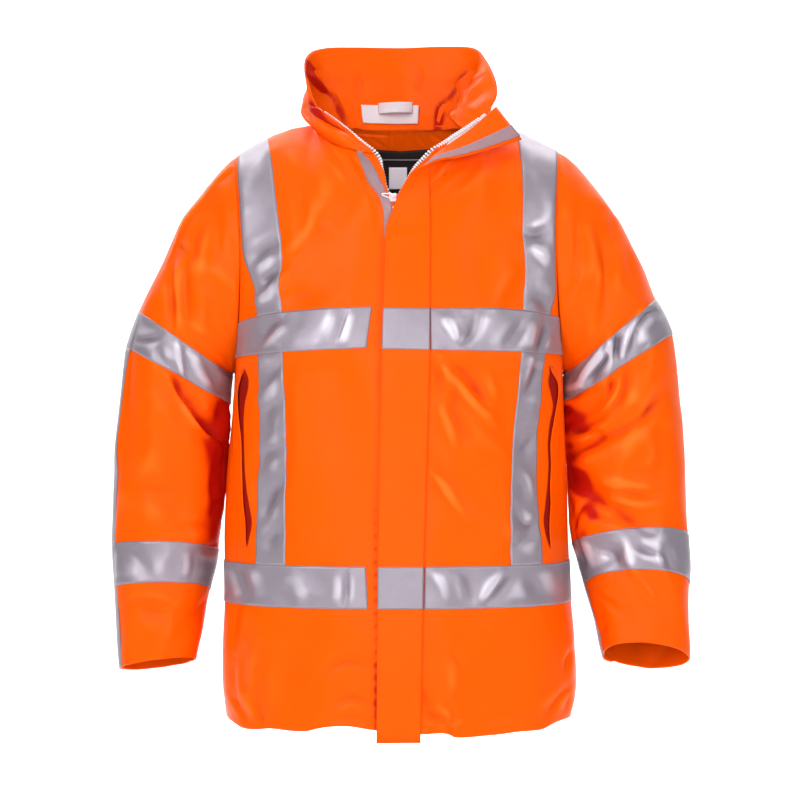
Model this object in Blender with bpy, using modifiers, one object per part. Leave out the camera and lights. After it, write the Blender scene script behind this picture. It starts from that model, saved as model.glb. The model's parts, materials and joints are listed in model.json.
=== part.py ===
"""Hi-vis work parka: an orange coated shell with silver tape, standing as it does when worn, and hollow.

Metres, +Z up, the front faces -Y and the wearer's left is +X. The origin is the middle of the neck opening,
level with the side neck points.
"""

import math

import bpy
import numpy as np
from mathutils import Matrix

COLLECTION = "hi_vis_parka"
SIDES = {-1: "right", 1: "left"}  # the wearer's, by the sign of x

WALL = 0.0018  # coated shell and lining together
SEAM = 0.0005  # half of a seam's gap
LIFT = 0.0003  # gap under whatever lies on a panel
TAPE = 0.0008
WELT = 0.0022
HOOK = 0.0012  # hook and loop strips

HEM_Z = -0.731
ARMPIT_Z = -0.300
HEM_TAPE_TOP = -0.535
HEM_TAPE_FOOT = -0.585
SECTION_POWER = 2.5  # of the lower body's oval
ROW_SAMPLES = 240

BELOW_HEM_TAPE = (-0.697, -0.642)  # rows between the hem and its tape
LOWER_ROWS = 6  # from the hem tape to the armpit
UPPER_ROWS = 7  # from the chest tape to the shoulder
SLEEVE_COLUMNS = 17


def table(names, rows):
    """The columns of a short table, by name."""
    return dict(zip(names.split(), np.array(rows, float).T))


# The lower body's half widths and depths, level by level.
BODY = table(
    "z right left front back",
    (
        (-0.731, 0.2165, 0.2135, 0.1500, 0.1350),
        (-0.700, 0.2195, 0.2195, 0.1505, 0.1360),
        (-0.640, 0.2185, 0.2175, 0.1500, 0.1365),
        (-0.585, 0.2165, 0.2125, 0.1490, 0.1365),
        (-0.535, 0.2165, 0.2100, 0.1480, 0.1360),
        (-0.480, 0.2145, 0.2065, 0.1460, 0.1355),
        (-0.420, 0.2135, 0.2050, 0.1455, 0.1350),
        (-0.360, 0.2095, 0.2045, 0.1455, 0.1340),
        (-0.300, 0.2050, 0.2035, 0.1460, 0.1320),
    ),
)
# Each armhole: an upright oval that dips toward the neck halfway up.
ARMHOLE = {
    -1: {"y": 0.005, "z": -0.1670, "high": 0.1330, "front": 0.085, "back": 0.095,
         "x_foot": 0.2050, "x_top": 0.2065, "dip": 0.0110},
    1: {"y": 0.005, "z": -0.1635, "high": 0.1365, "front": 0.085, "back": 0.095,
        "x_foot": 0.2035, "x_top": 0.1985, "dip": 0.0100},
}
# The centre front, from armpit level to the neck: depth, and how far each front's edge stands off it.
CENTRE_FRONT = table(
    "z y right left",
    (
        (-0.731, -0.1500, -0.0145, -0.0055),
        (-0.300, -0.1460, -0.0145, -0.0055),
        (-0.250, -0.1440, -0.0145, -0.0055),
        (-0.200, -0.1390, -0.0145, -0.0055),
        (-0.150, -0.1310, -0.0145, -0.0055),
        (-0.120, -0.1250, -0.0145, -0.0055),
        (-0.095, -0.1185, -0.0147, -0.0045),
        (-0.065, -0.1120, -0.0185, 0.0125),
        (-0.040, -0.1000, -0.0300, 0.0380),
    ),
)
CENTRE_BACK = table(
    "z y",
    ((-0.300, 0.1320), (-0.200, 0.1310), (-0.120, 0.1240), (-0.060, 0.1100), (-0.020, 0.0940), (0.0115, 0.0780)),
)
# How high the rows of the upper panels run at the centre, for each turn round the armhole (0 foot, 1 top).
UPPER_FRONT = {
    -1: table("turn z", ((0, -0.300), (0.135, -0.2745), (0.305, -0.2255), (0.65, -0.130), (1, -0.040))),
    1: table("turn z", ((0, -0.300), (0.155, -0.2775), (0.320, -0.2285), (0.65, -0.130), (1, -0.0375))),
}
UPPER_BACK = table("turn z", ((0, -0.300), (0.145, -0.2760), (0.315, -0.2270), (0.65, -0.110), (1, 0.0115)))
CHEST_TAPE = {-1: (0.135, 0.305), 1: (0.155, 0.320)}  # its lower and upper edge, in turns
BACK_TAPE = (0.145, 0.315)
# The neckline and the shoulder seam, from the centre out, for the wearer's right; the left is its mirror.
NECK_FRONT = table(
    "x y z",
    ((0.030, -0.100, -0.040), (0.060, -0.090, -0.034), (0.086, -0.066, -0.022), (0.104, -0.030, -0.004),
     (0.108, 0.005, 0.008)),
)
NECK_BACK = table(
    "x y z",
    ((0.000, 0.078, 0.0115), (0.040, 0.0745, 0.0115), (0.075, 0.060, 0.0115), (0.100, 0.032, 0.0105),
     (0.108, 0.005, 0.008)),
)
SHOULDER = table(
    "x y z",
    ((0.134, 0.005, 0.0025), (0.159, 0.005, -0.0055), (0.1725, 0.005, -0.0125), (0.186, 0.005, -0.0200)),
)
# Edges of the upright tapes on each front, by height.
UPRIGHT = {
    -1: table(
        "z inner outer",
        ((-0.600, 0.1375, 0.1735), (-0.460, 0.1370, 0.1730), (-0.277, 0.1400, 0.1710), (-0.225, 0.1430, 0.1735),
         (-0.200, 0.1450, 0.1760), (-0.165, 0.1410, 0.1890), (-0.130, 0.1450, 0.1930), (-0.088, 0.1510, 0.1985),
         (-0.045, 0.1570, 0.2000), (-0.010, 0.1650, 0.2020)),
    ),
    1: table(
        "z inner outer",
        ((-0.600, 0.1360, 0.1680), (-0.505, 0.1310, 0.1700), (-0.460, 0.1320, 0.1680), (-0.285, 0.1440, 0.1750),
         (-0.230, 0.1476, 0.1840), (-0.180, 0.1510, 0.1920), (-0.150, 0.1490, 0.1890), (-0.070, 0.1490, 0.1960),
         (-0.010, 0.1460, 0.1940)),
    ),
}
UPRIGHT_BACK = table("z inner outer", ((-0.731, 0.118, 0.166), (-0.300, 0.120, 0.168), (-0.100, 0.124, 0.172),
                                       (-0.030, 0.120, 0.166), (0.010, 0.113, 0.156)))
# The right front's first columns: the end of its tapes low down, and the hook strip beside the open zip.
HOOK_STRIP = table(
    "z inner outer",
    ((-0.731, 0.0165, 0.0330), (-0.225, 0.0165, 0.0330), (-0.150, 0.0158, 0.0190), (-0.132, 0.0155, 0.0190),
     (-0.105, 0.0158, 0.0235), (-0.093, 0.0165, 0.0260), (-0.075, 0.0225, 0.0385), (-0.060, 0.0300, 0.0440),
     (-0.050, 0.0360, 0.0480), (-0.040, 0.0450, 0.0520)),
)
# Each sleeve, ring by ring from the armhole to the cuff: the inner and outer points seen from the front, the
# middle's depth, the half depths to the front and the back, how far the ring leans forward (degrees) and dips.
SLEEVE = {
    -1: table(
        "inner_x inner_z outer_x outer_z y front back lean dip",
        (
            (0.2062, -0.3000, 0.2078, -0.0340, 0.005, 0.085, 0.095, 0, 0.0110),
            (0.2070, -0.3014, 0.2400, -0.0680, 0.006, 0.085, 0.094, 0, 0.0080),
            (0.2080, -0.3030, 0.2740, -0.1180, 0.008, 0.084, 0.092, 1, 0.0040),
            (0.2090, -0.3048, 0.3040, -0.1790, 0.010, 0.082, 0.089, 2, 0.0010),
            (0.2100, -0.3070, 0.3265, -0.2265, 0.012, 0.080, 0.086, 2, 0.0000),
            (0.2135, -0.3430, 0.3405, -0.2730, 0.014, 0.078, 0.083, 3, 0.0000),
            (0.2170, -0.4020, 0.3510, -0.3400, 0.016, 0.075, 0.079, 4, 0.0000),
            (0.2205, -0.4600, 0.3580, -0.4200, 0.015, 0.071, 0.073, 6, 0.0000),
            (0.2275, -0.5230, 0.3600, -0.5200, 0.009, 0.064, 0.064, 10, 0.0000),
            (0.2375, -0.5715, 0.3570, -0.5730, -0.003, 0.056, 0.056, 12, 0.0000),
            (0.2470, -0.6180, 0.3520, -0.6260, -0.012, 0.048, 0.048, 13, 0.0000),
            (0.2525, -0.6590, 0.3475, -0.6710, -0.019, 0.042, 0.042, 13, 0.0000),
        ),
    ),
    1: table(
        "inner_x inner_z outer_x outer_z y front back lean dip",
        (
            (0.2047, -0.3000, 0.1998, -0.0270, 0.005, 0.085, 0.095, 0, 0.0100),
            (0.2056, -0.3014, 0.2380, -0.0640, 0.006, 0.085, 0.094, 0, 0.0070),
            (0.2066, -0.3030, 0.2730, -0.1130, 0.008, 0.084, 0.092, 1, 0.0030),
            (0.2076, -0.3048, 0.3010, -0.1700, 0.009, 0.082, 0.089, 2, 0.0010),
            (0.2084, -0.3070, 0.3185, -0.2125, 0.010, 0.080, 0.086, 3, 0.0000),
            (0.2098, -0.3440, 0.3380, -0.2575, 0.012, 0.078, 0.083, 5, 0.0000),
            (0.2110, -0.4100, 0.3500, -0.3350, 0.013, 0.075, 0.079, 8, 0.0000),
            (0.2135, -0.4700, 0.3565, -0.4250, 0.008, 0.071, 0.073, 12, 0.0000),
            (0.2190, -0.5180, 0.3600, -0.5080, -0.003, 0.064, 0.064, 18, 0.0000),
            (0.2290, -0.5650, 0.3590, -0.5650, -0.018, 0.056, 0.056, 22, 0.0000),
            (0.2410, -0.6090, 0.3575, -0.6180, -0.034, 0.049, 0.049, 26, 0.0000),
            (0.2510, -0.6470, 0.3560, -0.6560, -0.047, 0.043, 0.043, 27, 0.0000),
        ),
    ),
}
UPPER_BAND = (4, 5)  # the rings between which each sleeve's bands lie
LOWER_BAND = (8, 9)
# The outer tape of the right sleeve and the under tape of the left, as turns round the ring from its inner point.
SLEEVE_TAPE = {-1: (0.425, 0.545), 1: (0.885, 1.005)}
# The collar, from the right front's neck point round the back to the left's: foot, upper edge and outward swell.
# The upper edge is the zip's line at each end, and the collar's top between them.
COLLAR = table(
    "along foot_x foot_y foot_z top_x top_y top_z swell",
    (
        (0.00, -0.0320, -0.0990, -0.0395, -0.0345, -0.0965, -0.0355, 0.000),
        (0.05, -0.0480, -0.0950, -0.0370, -0.0560, -0.0800, -0.0180, 0.002),
        (0.10, -0.0660, -0.0860, -0.0315, -0.0780, -0.0620, 0.0005, 0.005),
        (0.15, -0.0830, -0.0700, -0.0240, -0.1010, -0.0420, 0.0200, 0.008),
        (0.19, -0.0950, -0.0520, -0.0150, -0.1090, -0.0280, 0.0350, 0.011),
        (0.24, -0.1040, -0.0300, -0.0040, -0.1160, -0.0080, 0.0560, 0.013),
        (0.29, -0.1078, -0.0080, 0.0050, -0.1205, 0.0140, 0.0780, 0.012),
        (0.34, -0.1060, 0.0170, 0.0095, -0.1190, 0.0380, 0.0960, 0.009),
        (0.40, -0.0870, 0.0500, 0.0113, -0.1020, 0.0680, 0.1110, 0.005),
        (0.50, 0.0000, 0.0780, 0.0115, 0.0000, 0.0920, 0.1160, 0.003),
        (0.60, 0.0870, 0.0500, 0.0113, 0.0940, 0.0680, 0.1120, 0.005),
        (0.66, 0.1060, 0.0170, 0.0095, 0.1080, 0.0360, 0.0940, 0.006),
        (0.71, 0.1078, -0.0080, 0.0050, 0.1160, 0.0120, 0.0740, 0.006),
        (0.76, 0.1040, -0.0300, -0.0040, 0.1210, -0.0080, 0.0500, 0.005),
        (0.81, 0.0950, -0.0520, -0.0150, 0.1170, -0.0280, 0.0300, 0.003),
        (0.85, 0.0830, -0.0700, -0.0235, 0.1060, -0.0420, 0.0130, 0.002),
        (0.90, 0.0680, -0.0850, -0.0300, 0.0840, -0.0600, -0.0055, 0.001),
        (0.95, 0.0530, -0.0945, -0.0345, 0.0620, -0.0790, -0.0210, 0.000),
        (1.00, 0.0410, -0.0990, -0.0370, 0.0440, -0.0955, -0.0330, 0.000),
    ),
)
COLLAR_STEPS = 30
ZIP_STEPS = 5  # how many of its points, from each end, the zip follows
COLLAR_ROWS = (0.0, 0.16, 0.33, 0.5, 0.67, 0.84, 1.0)
COLLAR_SAG = 0.052  # how far the collar's inner layer sags into the neck on the left
COLLAR_SAG_ALONG = (0.735, 0.075)  # where along it and how widely
COLLAR_SAG_END = 0.86
# The storm flap above the chest: its free edge and its inner edge, where it turns over beside the open zip.
FLAP_TOP = table(
    "free_x free_y free_z inner_x inner_y inner_z",
    (
        (-0.0171, -0.1305, -0.1323, 0.0358, -0.1225, -0.1320),
        (-0.0131, -0.1292, -0.1204, 0.0358, -0.1185, -0.1180),
        (-0.0072, -0.1280, -0.1060, 0.0355, -0.1138, -0.1010),
        (-0.0022, -0.1272, -0.0927, 0.0350, -0.1098, -0.0860),
        (0.0038, -0.1265, -0.0808, 0.0345, -0.1068, -0.0720),
        (0.0104, -0.1258, -0.0700, 0.0345, -0.1055, -0.0610),
        (0.0191, -0.1250, -0.0610, 0.0350, -0.1055, -0.0515),
        (0.0305, -0.1230, -0.0565, 0.0385, -0.1050, -0.0440),
        (0.0479, -0.1180, -0.0495, 0.0505, -0.1000, -0.0345),
        (0.0707, -0.1090, -0.0455, 0.0680, -0.0890, -0.0215),
        (0.0944, -0.0970, -0.0385, 0.0860, -0.0760, -0.0075),
        (0.1210, -0.0810, -0.0290, 0.1025, -0.0620, 0.0080),
        (0.1487, -0.0630, -0.0185, 0.1180, -0.0510, 0.0230),
    ),
)
FLAP_FREE = table("z x", ((-0.743, -0.0280), (-0.540, -0.0265), (-0.300, -0.0225), (-0.132, -0.0171)))
FLAP_STITCH = table("z x", ((-0.743, 0.0240), (-0.540, 0.0280), (-0.300, 0.0350), (-0.132, 0.0358)))
# Just outside the flap's stitching, where the left front's tapes end; higher up, a line clear of the turned flap.
FLAP_LINE = table(
    "z x",
    ((-0.743, 0.0252), (-0.540, 0.0292), (-0.300, 0.0362), (-0.132, 0.0372), (-0.095, 0.0420), (-0.065, 0.0540),
     (-0.0375, 0.0700)),
)
FLAP_FOOT_Z = -0.743
FLAP_LIFT = (0.0032, 0.0010)  # at its free edge and at its stitched edge
# Pocket mouths, on each front near the side: the slit's line and the welt's outer edge.
POCKET = {
    -1: table("z slit outer", ((-0.512, 0.1885, 0.1940), (-0.440, 0.1900, 0.2010), (-0.370, 0.1925, 0.2050),
                               (-0.306, 0.1915, 0.1960))),
    1: table("z slit outer", ((-0.512, 0.1790, 0.1830), (-0.440, 0.1830, 0.1895), (-0.370, 0.1845, 0.1945),
                              (-0.306, 0.1860, 0.1900))),
}
# Main folds of each piece: a line in the front view (x and z at both ends), its depth and its half width.
FOLD_NAMES = "x0 z0 x1 z1 depth wide"
FOLDS = {
    "front_right": table(FOLD_NAMES, ((-0.075, -0.150, -0.160, -0.270, 0.004, 0.022),
                                      (-0.050, -0.070, -0.080, -0.130, 0.003, 0.014),
                                      (-0.110, -0.560, -0.120, -0.730, 0.004, 0.026),
                                      (-0.175, -0.330, -0.150, -0.520, 0.004, 0.024))),
    "front_left": table(FOLD_NAMES, ((0.060, -0.075, 0.025, -0.140, 0.003, 0.016),
                                     (0.070, -0.300, 0.105, -0.420, -0.004, 0.022),
                                     (0.150, -0.330, 0.170, -0.520, 0.004, 0.024),
                                     (0.095, -0.600, 0.085, -0.730, 0.004, 0.026))),
    "back": table(FOLD_NAMES, ((-0.170, -0.300, -0.040, -0.360, 0.005, 0.024),
                               (0.175, -0.290, 0.060, -0.345, 0.005, 0.022),
                               (-0.060, -0.480, -0.075, -0.730, 0.005, 0.030),
                               (0.090, -0.450, 0.105, -0.730, 0.005, 0.030),
                               (-0.120, -0.080, -0.090, -0.200, 0.004, 0.024),
                               (0.120, -0.085, 0.080, -0.190, 0.004, 0.024))),
    "sleeve_right": table(FOLD_NAMES, ((-0.275, -0.300, -0.220, -0.395, 0.009, 0.016),
                                       (-0.280, -0.140, -0.275, -0.255, 0.006, 0.016),
                                       (-0.235, -0.070, -0.240, -0.150, 0.004, 0.016),
                                       (-0.350, -0.430, -0.270, -0.460, 0.005, 0.016),
                                       (-0.325, -0.592, -0.280, -0.600, 0.004, 0.010))),
    "sleeve_left": table(FOLD_NAMES, ((0.270, -0.310, 0.205, -0.385, 0.009, 0.016),
                                      (0.200, -0.408, 0.330, -0.330, 0.008, 0.016),
                                      (0.205, -0.420, 0.290, -0.495, 0.006, 0.015),
                                      (0.250, -0.110, 0.270, -0.210, 0.004, 0.016),
                                      (0.215, -0.060, 0.225, -0.130, 0.004, 0.016))),
}

ZIP_BEAD = 0.0017  # radius of a row of closed teeth
ZIP_FOOT_Z = -0.712
ZIP_SET_BACK = 0.0020
ZIP_OFF_EDGE = 0.0025
ZIP_COLLAR_ROWS = (0.0, 0.85, 1.0)  # how far up the collar's edge the zip's points lie
ZIP_COLLAR_INWARD = 0.0005
SLIDER_Z = -0.0955
SLIDER = {"wide": 0.0094, "tall": 0.0105, "plate": 0.0012, "clear": 0.0021}
SLIDER_POST = {"left": -0.0003, "right": 0.0011, "low": 0.0020, "high": 0.0004}  # heights down from the top
CROWN = {"half_span": 0.0027, "rise": 0.0027, "thick": 0.0009}
PULL = {"reach": 0.0130, "base": 0.0064, "tip_up": 0.0030, "wire": 0.0006, "stand": 0.0014}
RIDGE_GAP = 0.0009  # at the shoulder seam, whose two walls meet at an angle
NECK_GAP = 0.0003
COLLAR_LAYER = 0.0010  # each of the collar's two layers
COLLAR_INWARD = 0.0014
LINER = 0.0008  # facing, lining and hanger loop
FACING_LIFT = 0.0010
LINING_LIFT = 0.0004
LABEL = 0.0005
LABEL_OFF = 0.0030  # how far in front of the lining the size label hangs
WELT_LIFT = 0.0006

# Columns of the panels' grids, in steps: the hook strip, the first column that the right front's cross tapes
# cover, and the upright tapes of the fronts and the back.
HOOK_COLUMNS = (1, 2)
FIRST_TAPE_COLUMN = 2
UPRIGHT_COLUMNS = (6, 8)
BACK_TAPE_COLUMNS = {"right": (4, 6), "left": (16, 18)}
RIGHT_STEPS = (1, 1, 4, 2, 4)
LEFT_STEPS = (2, 4, 2, 4)
BACK_STEPS = (5, 2, 4)
HOOK_STRIP_START = 3  # rows above the chest tape
FACING_COLUMNS = (8, 15)
LINING_COLUMNS = (6, 17)
LINING_DOWN = 5  # rows below the neckline
SLEEVE_RINGS = (0, 0.5, 1, 1.6, 2.2, 2.8, 3.4, 4, 4.5, 5, 5.4, 5.8, 6.2, 6.6, 7, 7.5, 8, 8.5, 9, 9.7, 10.4, 11)
FLAP_COLUMNS = (0, 0.10, 0.42, 0.7, 1)  # shares of its width; its loop strip lies between the second and third
FLAP_TURNED = 5  # its top rows, where the loop strip is sewn
SIZE_LABEL = {"x": (-0.0142, 0.0090), "z": (-0.064, -0.037)}
NECK_LABEL = {"along": (0.450, 0.525), "rows": (0.04, 0.28), "inward": 0.0042}
HANGER = {"along": (0.472, 0.517), "rows": (0.17, 0.31), "inward": 0.0054, "bow": 0.0115}


# --- curves and grids ---------------------------------------------------------------------------------------


def smooth(at, knots, values):
    """A smooth curve through the knots, as cubic pieces with matching slopes."""
    at = np.asarray(at, float)
    slope = np.gradient(values, knots)
    piece = np.clip(np.searchsorted(knots, at, side="right") - 1, 0, len(knots) - 2)
    span = knots[piece + 1] - knots[piece]
    u = np.clip((at - knots[piece]) / span, 0, 1)
    rise = u * u * (3 - 2 * u)
    return (
        values[piece] * (1 - rise)
        + values[piece + 1] * rise
        + span * (slope[piece] * u * (1 - u) ** 2 - slope[piece + 1] * u * u * (1 - u))
    )


def smooth_points(at, knots, *columns):
    return np.stack([smooth(at, knots, column) for column in columns], axis=-1)


def lengths(points):
    """Distance along a line of points, from 0 to 1."""
    steps = np.linalg.norm(np.diff(points, axis=0), axis=1)
    along = np.concatenate([[0], np.cumsum(steps)])
    return along / along[-1]


def along_line(points, fractions):
    place = lengths(points)
    return np.stack([np.interp(fractions, place, points[:, axis]) for axis in range(3)], axis=-1)


def grid_normals(grid, flip, closed=False):
    """Unit normals of a grid of points, from its rows and columns."""
    if closed:
        across = np.roll(grid, -1, axis=1) - np.roll(grid, 1, axis=1)
    else:
        across = np.gradient(grid, axis=1)
    normal = np.cross(across, np.gradient(grid, axis=0))
    normal /= np.maximum(np.linalg.norm(normal, axis=2, keepdims=True), 1e-12)
    return -normal if flip else normal


def folded(grid, normal, folds, near=None):
    """The grid with its main folds pressed in along the normals. near, if given, fades them across a ring."""
    for x0, z0, x1, z1, depth, wide in zip(*folds.values()):
        line = np.array([x1 - x0, z1 - z0])
        offset = grid[..., [0, 2]] - (x0, z0)
        share = np.clip(offset @ line / (line @ line), 0, 1)
        distance = np.linalg.norm(offset - share[..., None] * line, axis=-1)
        press = depth * np.exp(-((distance / wide) ** 2))
        if near is not None:
            press = press * near
        grid = grid - press[..., None] * normal
    return grid


def drawn_in(grid, gap, edges):
    """The grid with some of its edges drawn in by a gap. An edge is first or last row, first or last column."""
    grid = grid.copy()
    for edge in edges.split():
        view = {"foot": grid, "top": grid[::-1], "start": grid.swapaxes(0, 1), "end": grid.swapaxes(0, 1)[::-1]}[edge]
        way = view[1] - view[0]
        long = np.maximum(np.linalg.norm(way, axis=1), 1e-9)
        view[0] += way * (np.broadcast_to(gap, long.shape) / long)[:, None]
    return grid


# --- the body's surfaces ------------------------------------------------------------------------------------


def lower_row(side, face, z):
    """One level of the lower body, from the centre to the side seam: a quarter of an oval."""
    half = smooth(z, BODY["z"], BODY["left" if side > 0 else "right"])
    deep = smooth(z, BODY["z"], BODY[face])
    edge = 0.0
    if face == "front":
        edge = side * np.interp(z, CENTRE_FRONT["z"], CENTRE_FRONT["left" if side > 0 else "right"])
    angle = np.linspace(0, math.pi / 2, ROW_SAMPLES)
    x = half * np.sin(angle) ** (2 / SECTION_POWER)
    y = deep * np.cos(angle) ** (2 / SECTION_POWER)
    x = np.concatenate([[edge], x[x > edge + 1e-4]])
    y = np.concatenate([[deep], y[-(len(x) - 1):]])
    way = -1 if face == "front" else 1
    return np.stack([side * x, way * y, np.full(len(x), float(z))], axis=-1)


def armhole(side, face, turn):
    """A point of the armhole; turn runs from 0 at its foot to 1 at the shoulder tip."""
    hole = ARMHOLE[side]
    angle = math.pi * turn
    way = -hole["front"] if face == "front" else hole["back"]
    x = hole["x_foot"] + (hole["x_top"] - hole["x_foot"]) * turn - hole["dip"] * math.sin(angle) ** 2
    return np.array([side * x, hole["y"] + way * math.sin(angle), hole["z"] - hole["high"] * math.cos(angle)])


def top_line(side, face):
    """The neckline and then the shoulder seam, from the centre to the shoulder tip."""
    neck = NECK_FRONT if face == "front" else NECK_BACK
    points = np.stack([np.concatenate([neck[axis], SHOULDER[axis]]) for axis in "xyz"], axis=-1)
    points[:, 0] *= side
    if face == "front":
        points[0, 0] = np.interp(-0.04, CENTRE_FRONT["z"], CENTRE_FRONT["left" if side > 0 else "right"])
        points[0, 2] = UPPER_FRONT[side]["z"][-1]
    return np.concatenate([points, armhole(side, face, 1.0)[None]])


def upper_row(side, face, turn):
    """One row of an upper panel, between the centre line and the armhole.

    It is the straight line between its ends, bowed like the row at the armpit low down and like the neckline
    and shoulder seam high up, with a slight swell of its own.
    """
    share = np.linspace(0, 1, ROW_SAMPLES)
    low = along_line(lower_row(side, face, ARMPIT_Z), share)
    top = along_line(top_line(side, face), share)
    levels = UPPER_FRONT[side] if face == "front" else UPPER_BACK
    z = float(smooth(turn, levels["turn"], levels["z"]))
    if face == "front":
        edge = float(np.interp(z, CENTRE_FRONT["z"], CENTRE_FRONT["left" if side > 0 else "right"]))
        start = np.array([edge, float(smooth(z, CENTRE_FRONT["z"], CENTRE_FRONT["y"])), z])
    else:
        start = np.array([0.0, float(smooth(z, CENTRE_BACK["z"], CENTRE_BACK["y"])), z])
    end = armhole(side, face, turn)
    along = share[:, None]
    low_bow = low - (low[0] * (1 - along) + low[-1] * along)
    top_bow = top - (top[0] * (1 - along) + top[-1] * along)
    low_weight = math.cos(math.pi * turn / 2) ** 8
    top_weight = np.array([turn**3, turn**3, 1 - (1 - turn) ** 2]) * turn
    top_weight[2] = turn**2 * (3 - 2 * turn) * 0.5 + 0.5 * turn**3
    swell = 0.010 * math.sin(math.pi * turn) * np.sin(math.pi * share)
    way = -1 if face == "front" else 1
    row = start * (1 - along) + end * along + low_weight * low_bow + top_weight * top_bow
    row[:, 1] += way * swell
    return row


def panel_rows(side, face, tape_turns):
    """The levels of a panel's rows, with the edges of its tapes among them: heights below, turns above."""
    lower = np.concatenate([[HEM_Z, *BELOW_HEM_TAPE, HEM_TAPE_FOOT, (HEM_TAPE_FOOT + HEM_TAPE_TOP) / 2],
                            np.linspace(HEM_TAPE_TOP, ARMPIT_Z, LOWER_ROWS)])
    upper = np.concatenate([tape_turns[:1], [sum(tape_turns) / 2], tape_turns[1:],
                            np.linspace(tape_turns[1], 1, UPPER_ROWS + 1)[1:]])
    lines = [lower_row(side, face, z) for z in lower]
    lines += [upper_row(side, face, turn) for turn in upper]
    names = {"hem_tape": (3, 5), "chest_tape": (len(lower), len(lower) + 2),
             "top": len(lines) - 1}
    return lines, names


def crossing(line, edge_of_z):
    """How far along a row the upright edge named by height crosses it."""
    across = np.abs(line[:, 0]) - edge_of_z(line[:, 2])
    return float(np.interp(0, across, lengths(line)))


def placed_columns(line, marks, counts):
    """Fractions along a row: evenly spread between the marks, counts of steps in each stretch."""
    stops = np.concatenate([[0], np.minimum(marks, 0.985), [1]])
    parts = [np.linspace(a, b, n + 1)[:-1] for a, b, n in zip(stops[:-1], stops[1:], counts)]
    return np.concatenate(parts + [[1.0]])


def edge_table(edges, name):
    return lambda z: np.interp(z, edges["z"], edges[name])


def front_grid(side):
    lines, names = panel_rows(side, "front", CHEST_TAPE[side])
    rows = []
    for line in lines:
        marks = [crossing(line, edge_table(UPRIGHT[side], key)) for key in ("inner", "outer")]
        if side < 0:
            hook = [crossing(line, edge_table(HOOK_STRIP, key)) for key in ("inner", "outer")]
            columns = placed_columns(line, hook + marks, RIGHT_STEPS)
        else:
            stitch = crossing(line, edge_table(FLAP_LINE, "x"))
            columns = placed_columns(line, [stitch] + marks, LEFT_STEPS)
        rows.append(along_line(line, columns))
    return np.array(rows), names


def back_grid():
    halves = []
    for side in (-1, 1):
        lines, names = panel_rows(side, "back", BACK_TAPE)
        rows = []
        for line in lines:
            marks = [crossing(line, edge_table(UPRIGHT_BACK, key)) for key in ("inner", "outer")]
            rows.append(along_line(line, placed_columns(line, marks, BACK_STEPS)))
        halves.append(np.array(rows))
    return np.concatenate([halves[0][:, ::-1], halves[1][:, 1:]], axis=1), names


# --- sleeves and collar -------------------------------------------------------------------------------------


def sleeve_grid(side, rings, turns):
    """Sleeve rings: each an oval between its inner and outer points, leaning forward as the arm does."""
    sizes = SLEEVE[side]
    knots = np.arange(len(sizes["y"]), dtype=float)
    ring = {name: smooth(rings, knots, column)[:, None] for name, column in sizes.items()}
    angle = 2 * math.pi * np.asarray(turns)[None, :]
    cosine, sine = np.cos(angle), np.sin(angle)
    share = (1 - cosine) / 2
    x = ring["inner_x"] + (ring["outer_x"] - ring["inner_x"]) * share - ring["dip"] * sine**2
    z = ring["inner_z"] + (ring["outer_z"] - ring["inner_z"]) * share
    deep = np.where(sine > 0, -ring["front"], -ring["back"]) * sine
    lean = np.radians(ring["lean"])
    return np.stack([side * x, ring["y"] + deep * np.cos(lean), z - deep * np.sin(lean)], axis=-1)


def sleeve_rings():
    """Where the sleeve's rings are laid, and which of them are its two bands' edges."""
    rings = np.array(SLEEVE_RINGS)
    bands = [tuple(SLEEVE_RINGS.index(ring) for ring in band) for band in (UPPER_BAND, LOWER_BAND)]
    return rings, bands


def sleeve_turns(side):
    """Columns round the ring, with the tape's edges among them."""
    first, last = SLEEVE_TAPE[side]
    rest = np.linspace(last, first + 1, SLEEVE_COLUMNS - 1)
    turns = np.concatenate([[first, (first + last) / 2], rest[:-1]])
    return turns


def collar_grid(along, rows, inward=0.0, sag=0.0):
    """The collar: a stand from the neckline to its top edge, swelling outward; sag lets it fall in on the left."""
    knots = COLLAR["along"]
    foot = smooth_points(along, knots, COLLAR["foot_x"], COLLAR["foot_y"], COLLAR["foot_z"])
    top = smooth_points(along, knots, COLLAR["top_x"], COLLAR["top_y"], COLLAR["top_z"])
    swell = smooth(along, knots, COLLAR["swell"])
    s = np.asarray(rows)[:, None, None]
    grid = foot[None] * (1 - s) + top[None] * s
    out = grid_normals(grid, True)
    s = s[..., 0]
    grid = grid + out * (swell[None] * np.sin(math.pi * np.minimum(s * 1.6, 1)))[..., None]
    grid = grid - grid_normals(grid, True) * inward
    middle, wide = COLLAR_SAG_ALONG
    along = np.asarray(along)[None]
    fall = sag * np.exp(-(((along - middle) / wide) ** 2)) * np.clip((COLLAR_SAG_END - along) / wide, 0, 1)
    fall = fall * np.sin(math.pi * s**0.6) ** 0.8
    grid[..., 0] -= fall
    return grid


# --- solids -------------------------------------------------------------------------------------------------


def material(name, colour, roughness, metallic=0.0):
    made = bpy.data.materials.new(name)
    made.use_nodes = True
    shader = made.node_tree.nodes["Principled BSDF"]
    shader.inputs["Base Color"].default_value = (*colour, 1)
    shader.inputs["Roughness"].default_value = roughness
    shader.inputs["Metallic"].default_value = metallic
    made.diffuse_color = (*colour, 1)
    return made


def add(name, mesh, look):
    made = bpy.data.objects.new(name, mesh)
    mesh.materials.append(look)
    bpy.data.collections[COLLECTION].objects.link(made)
    return made


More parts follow.
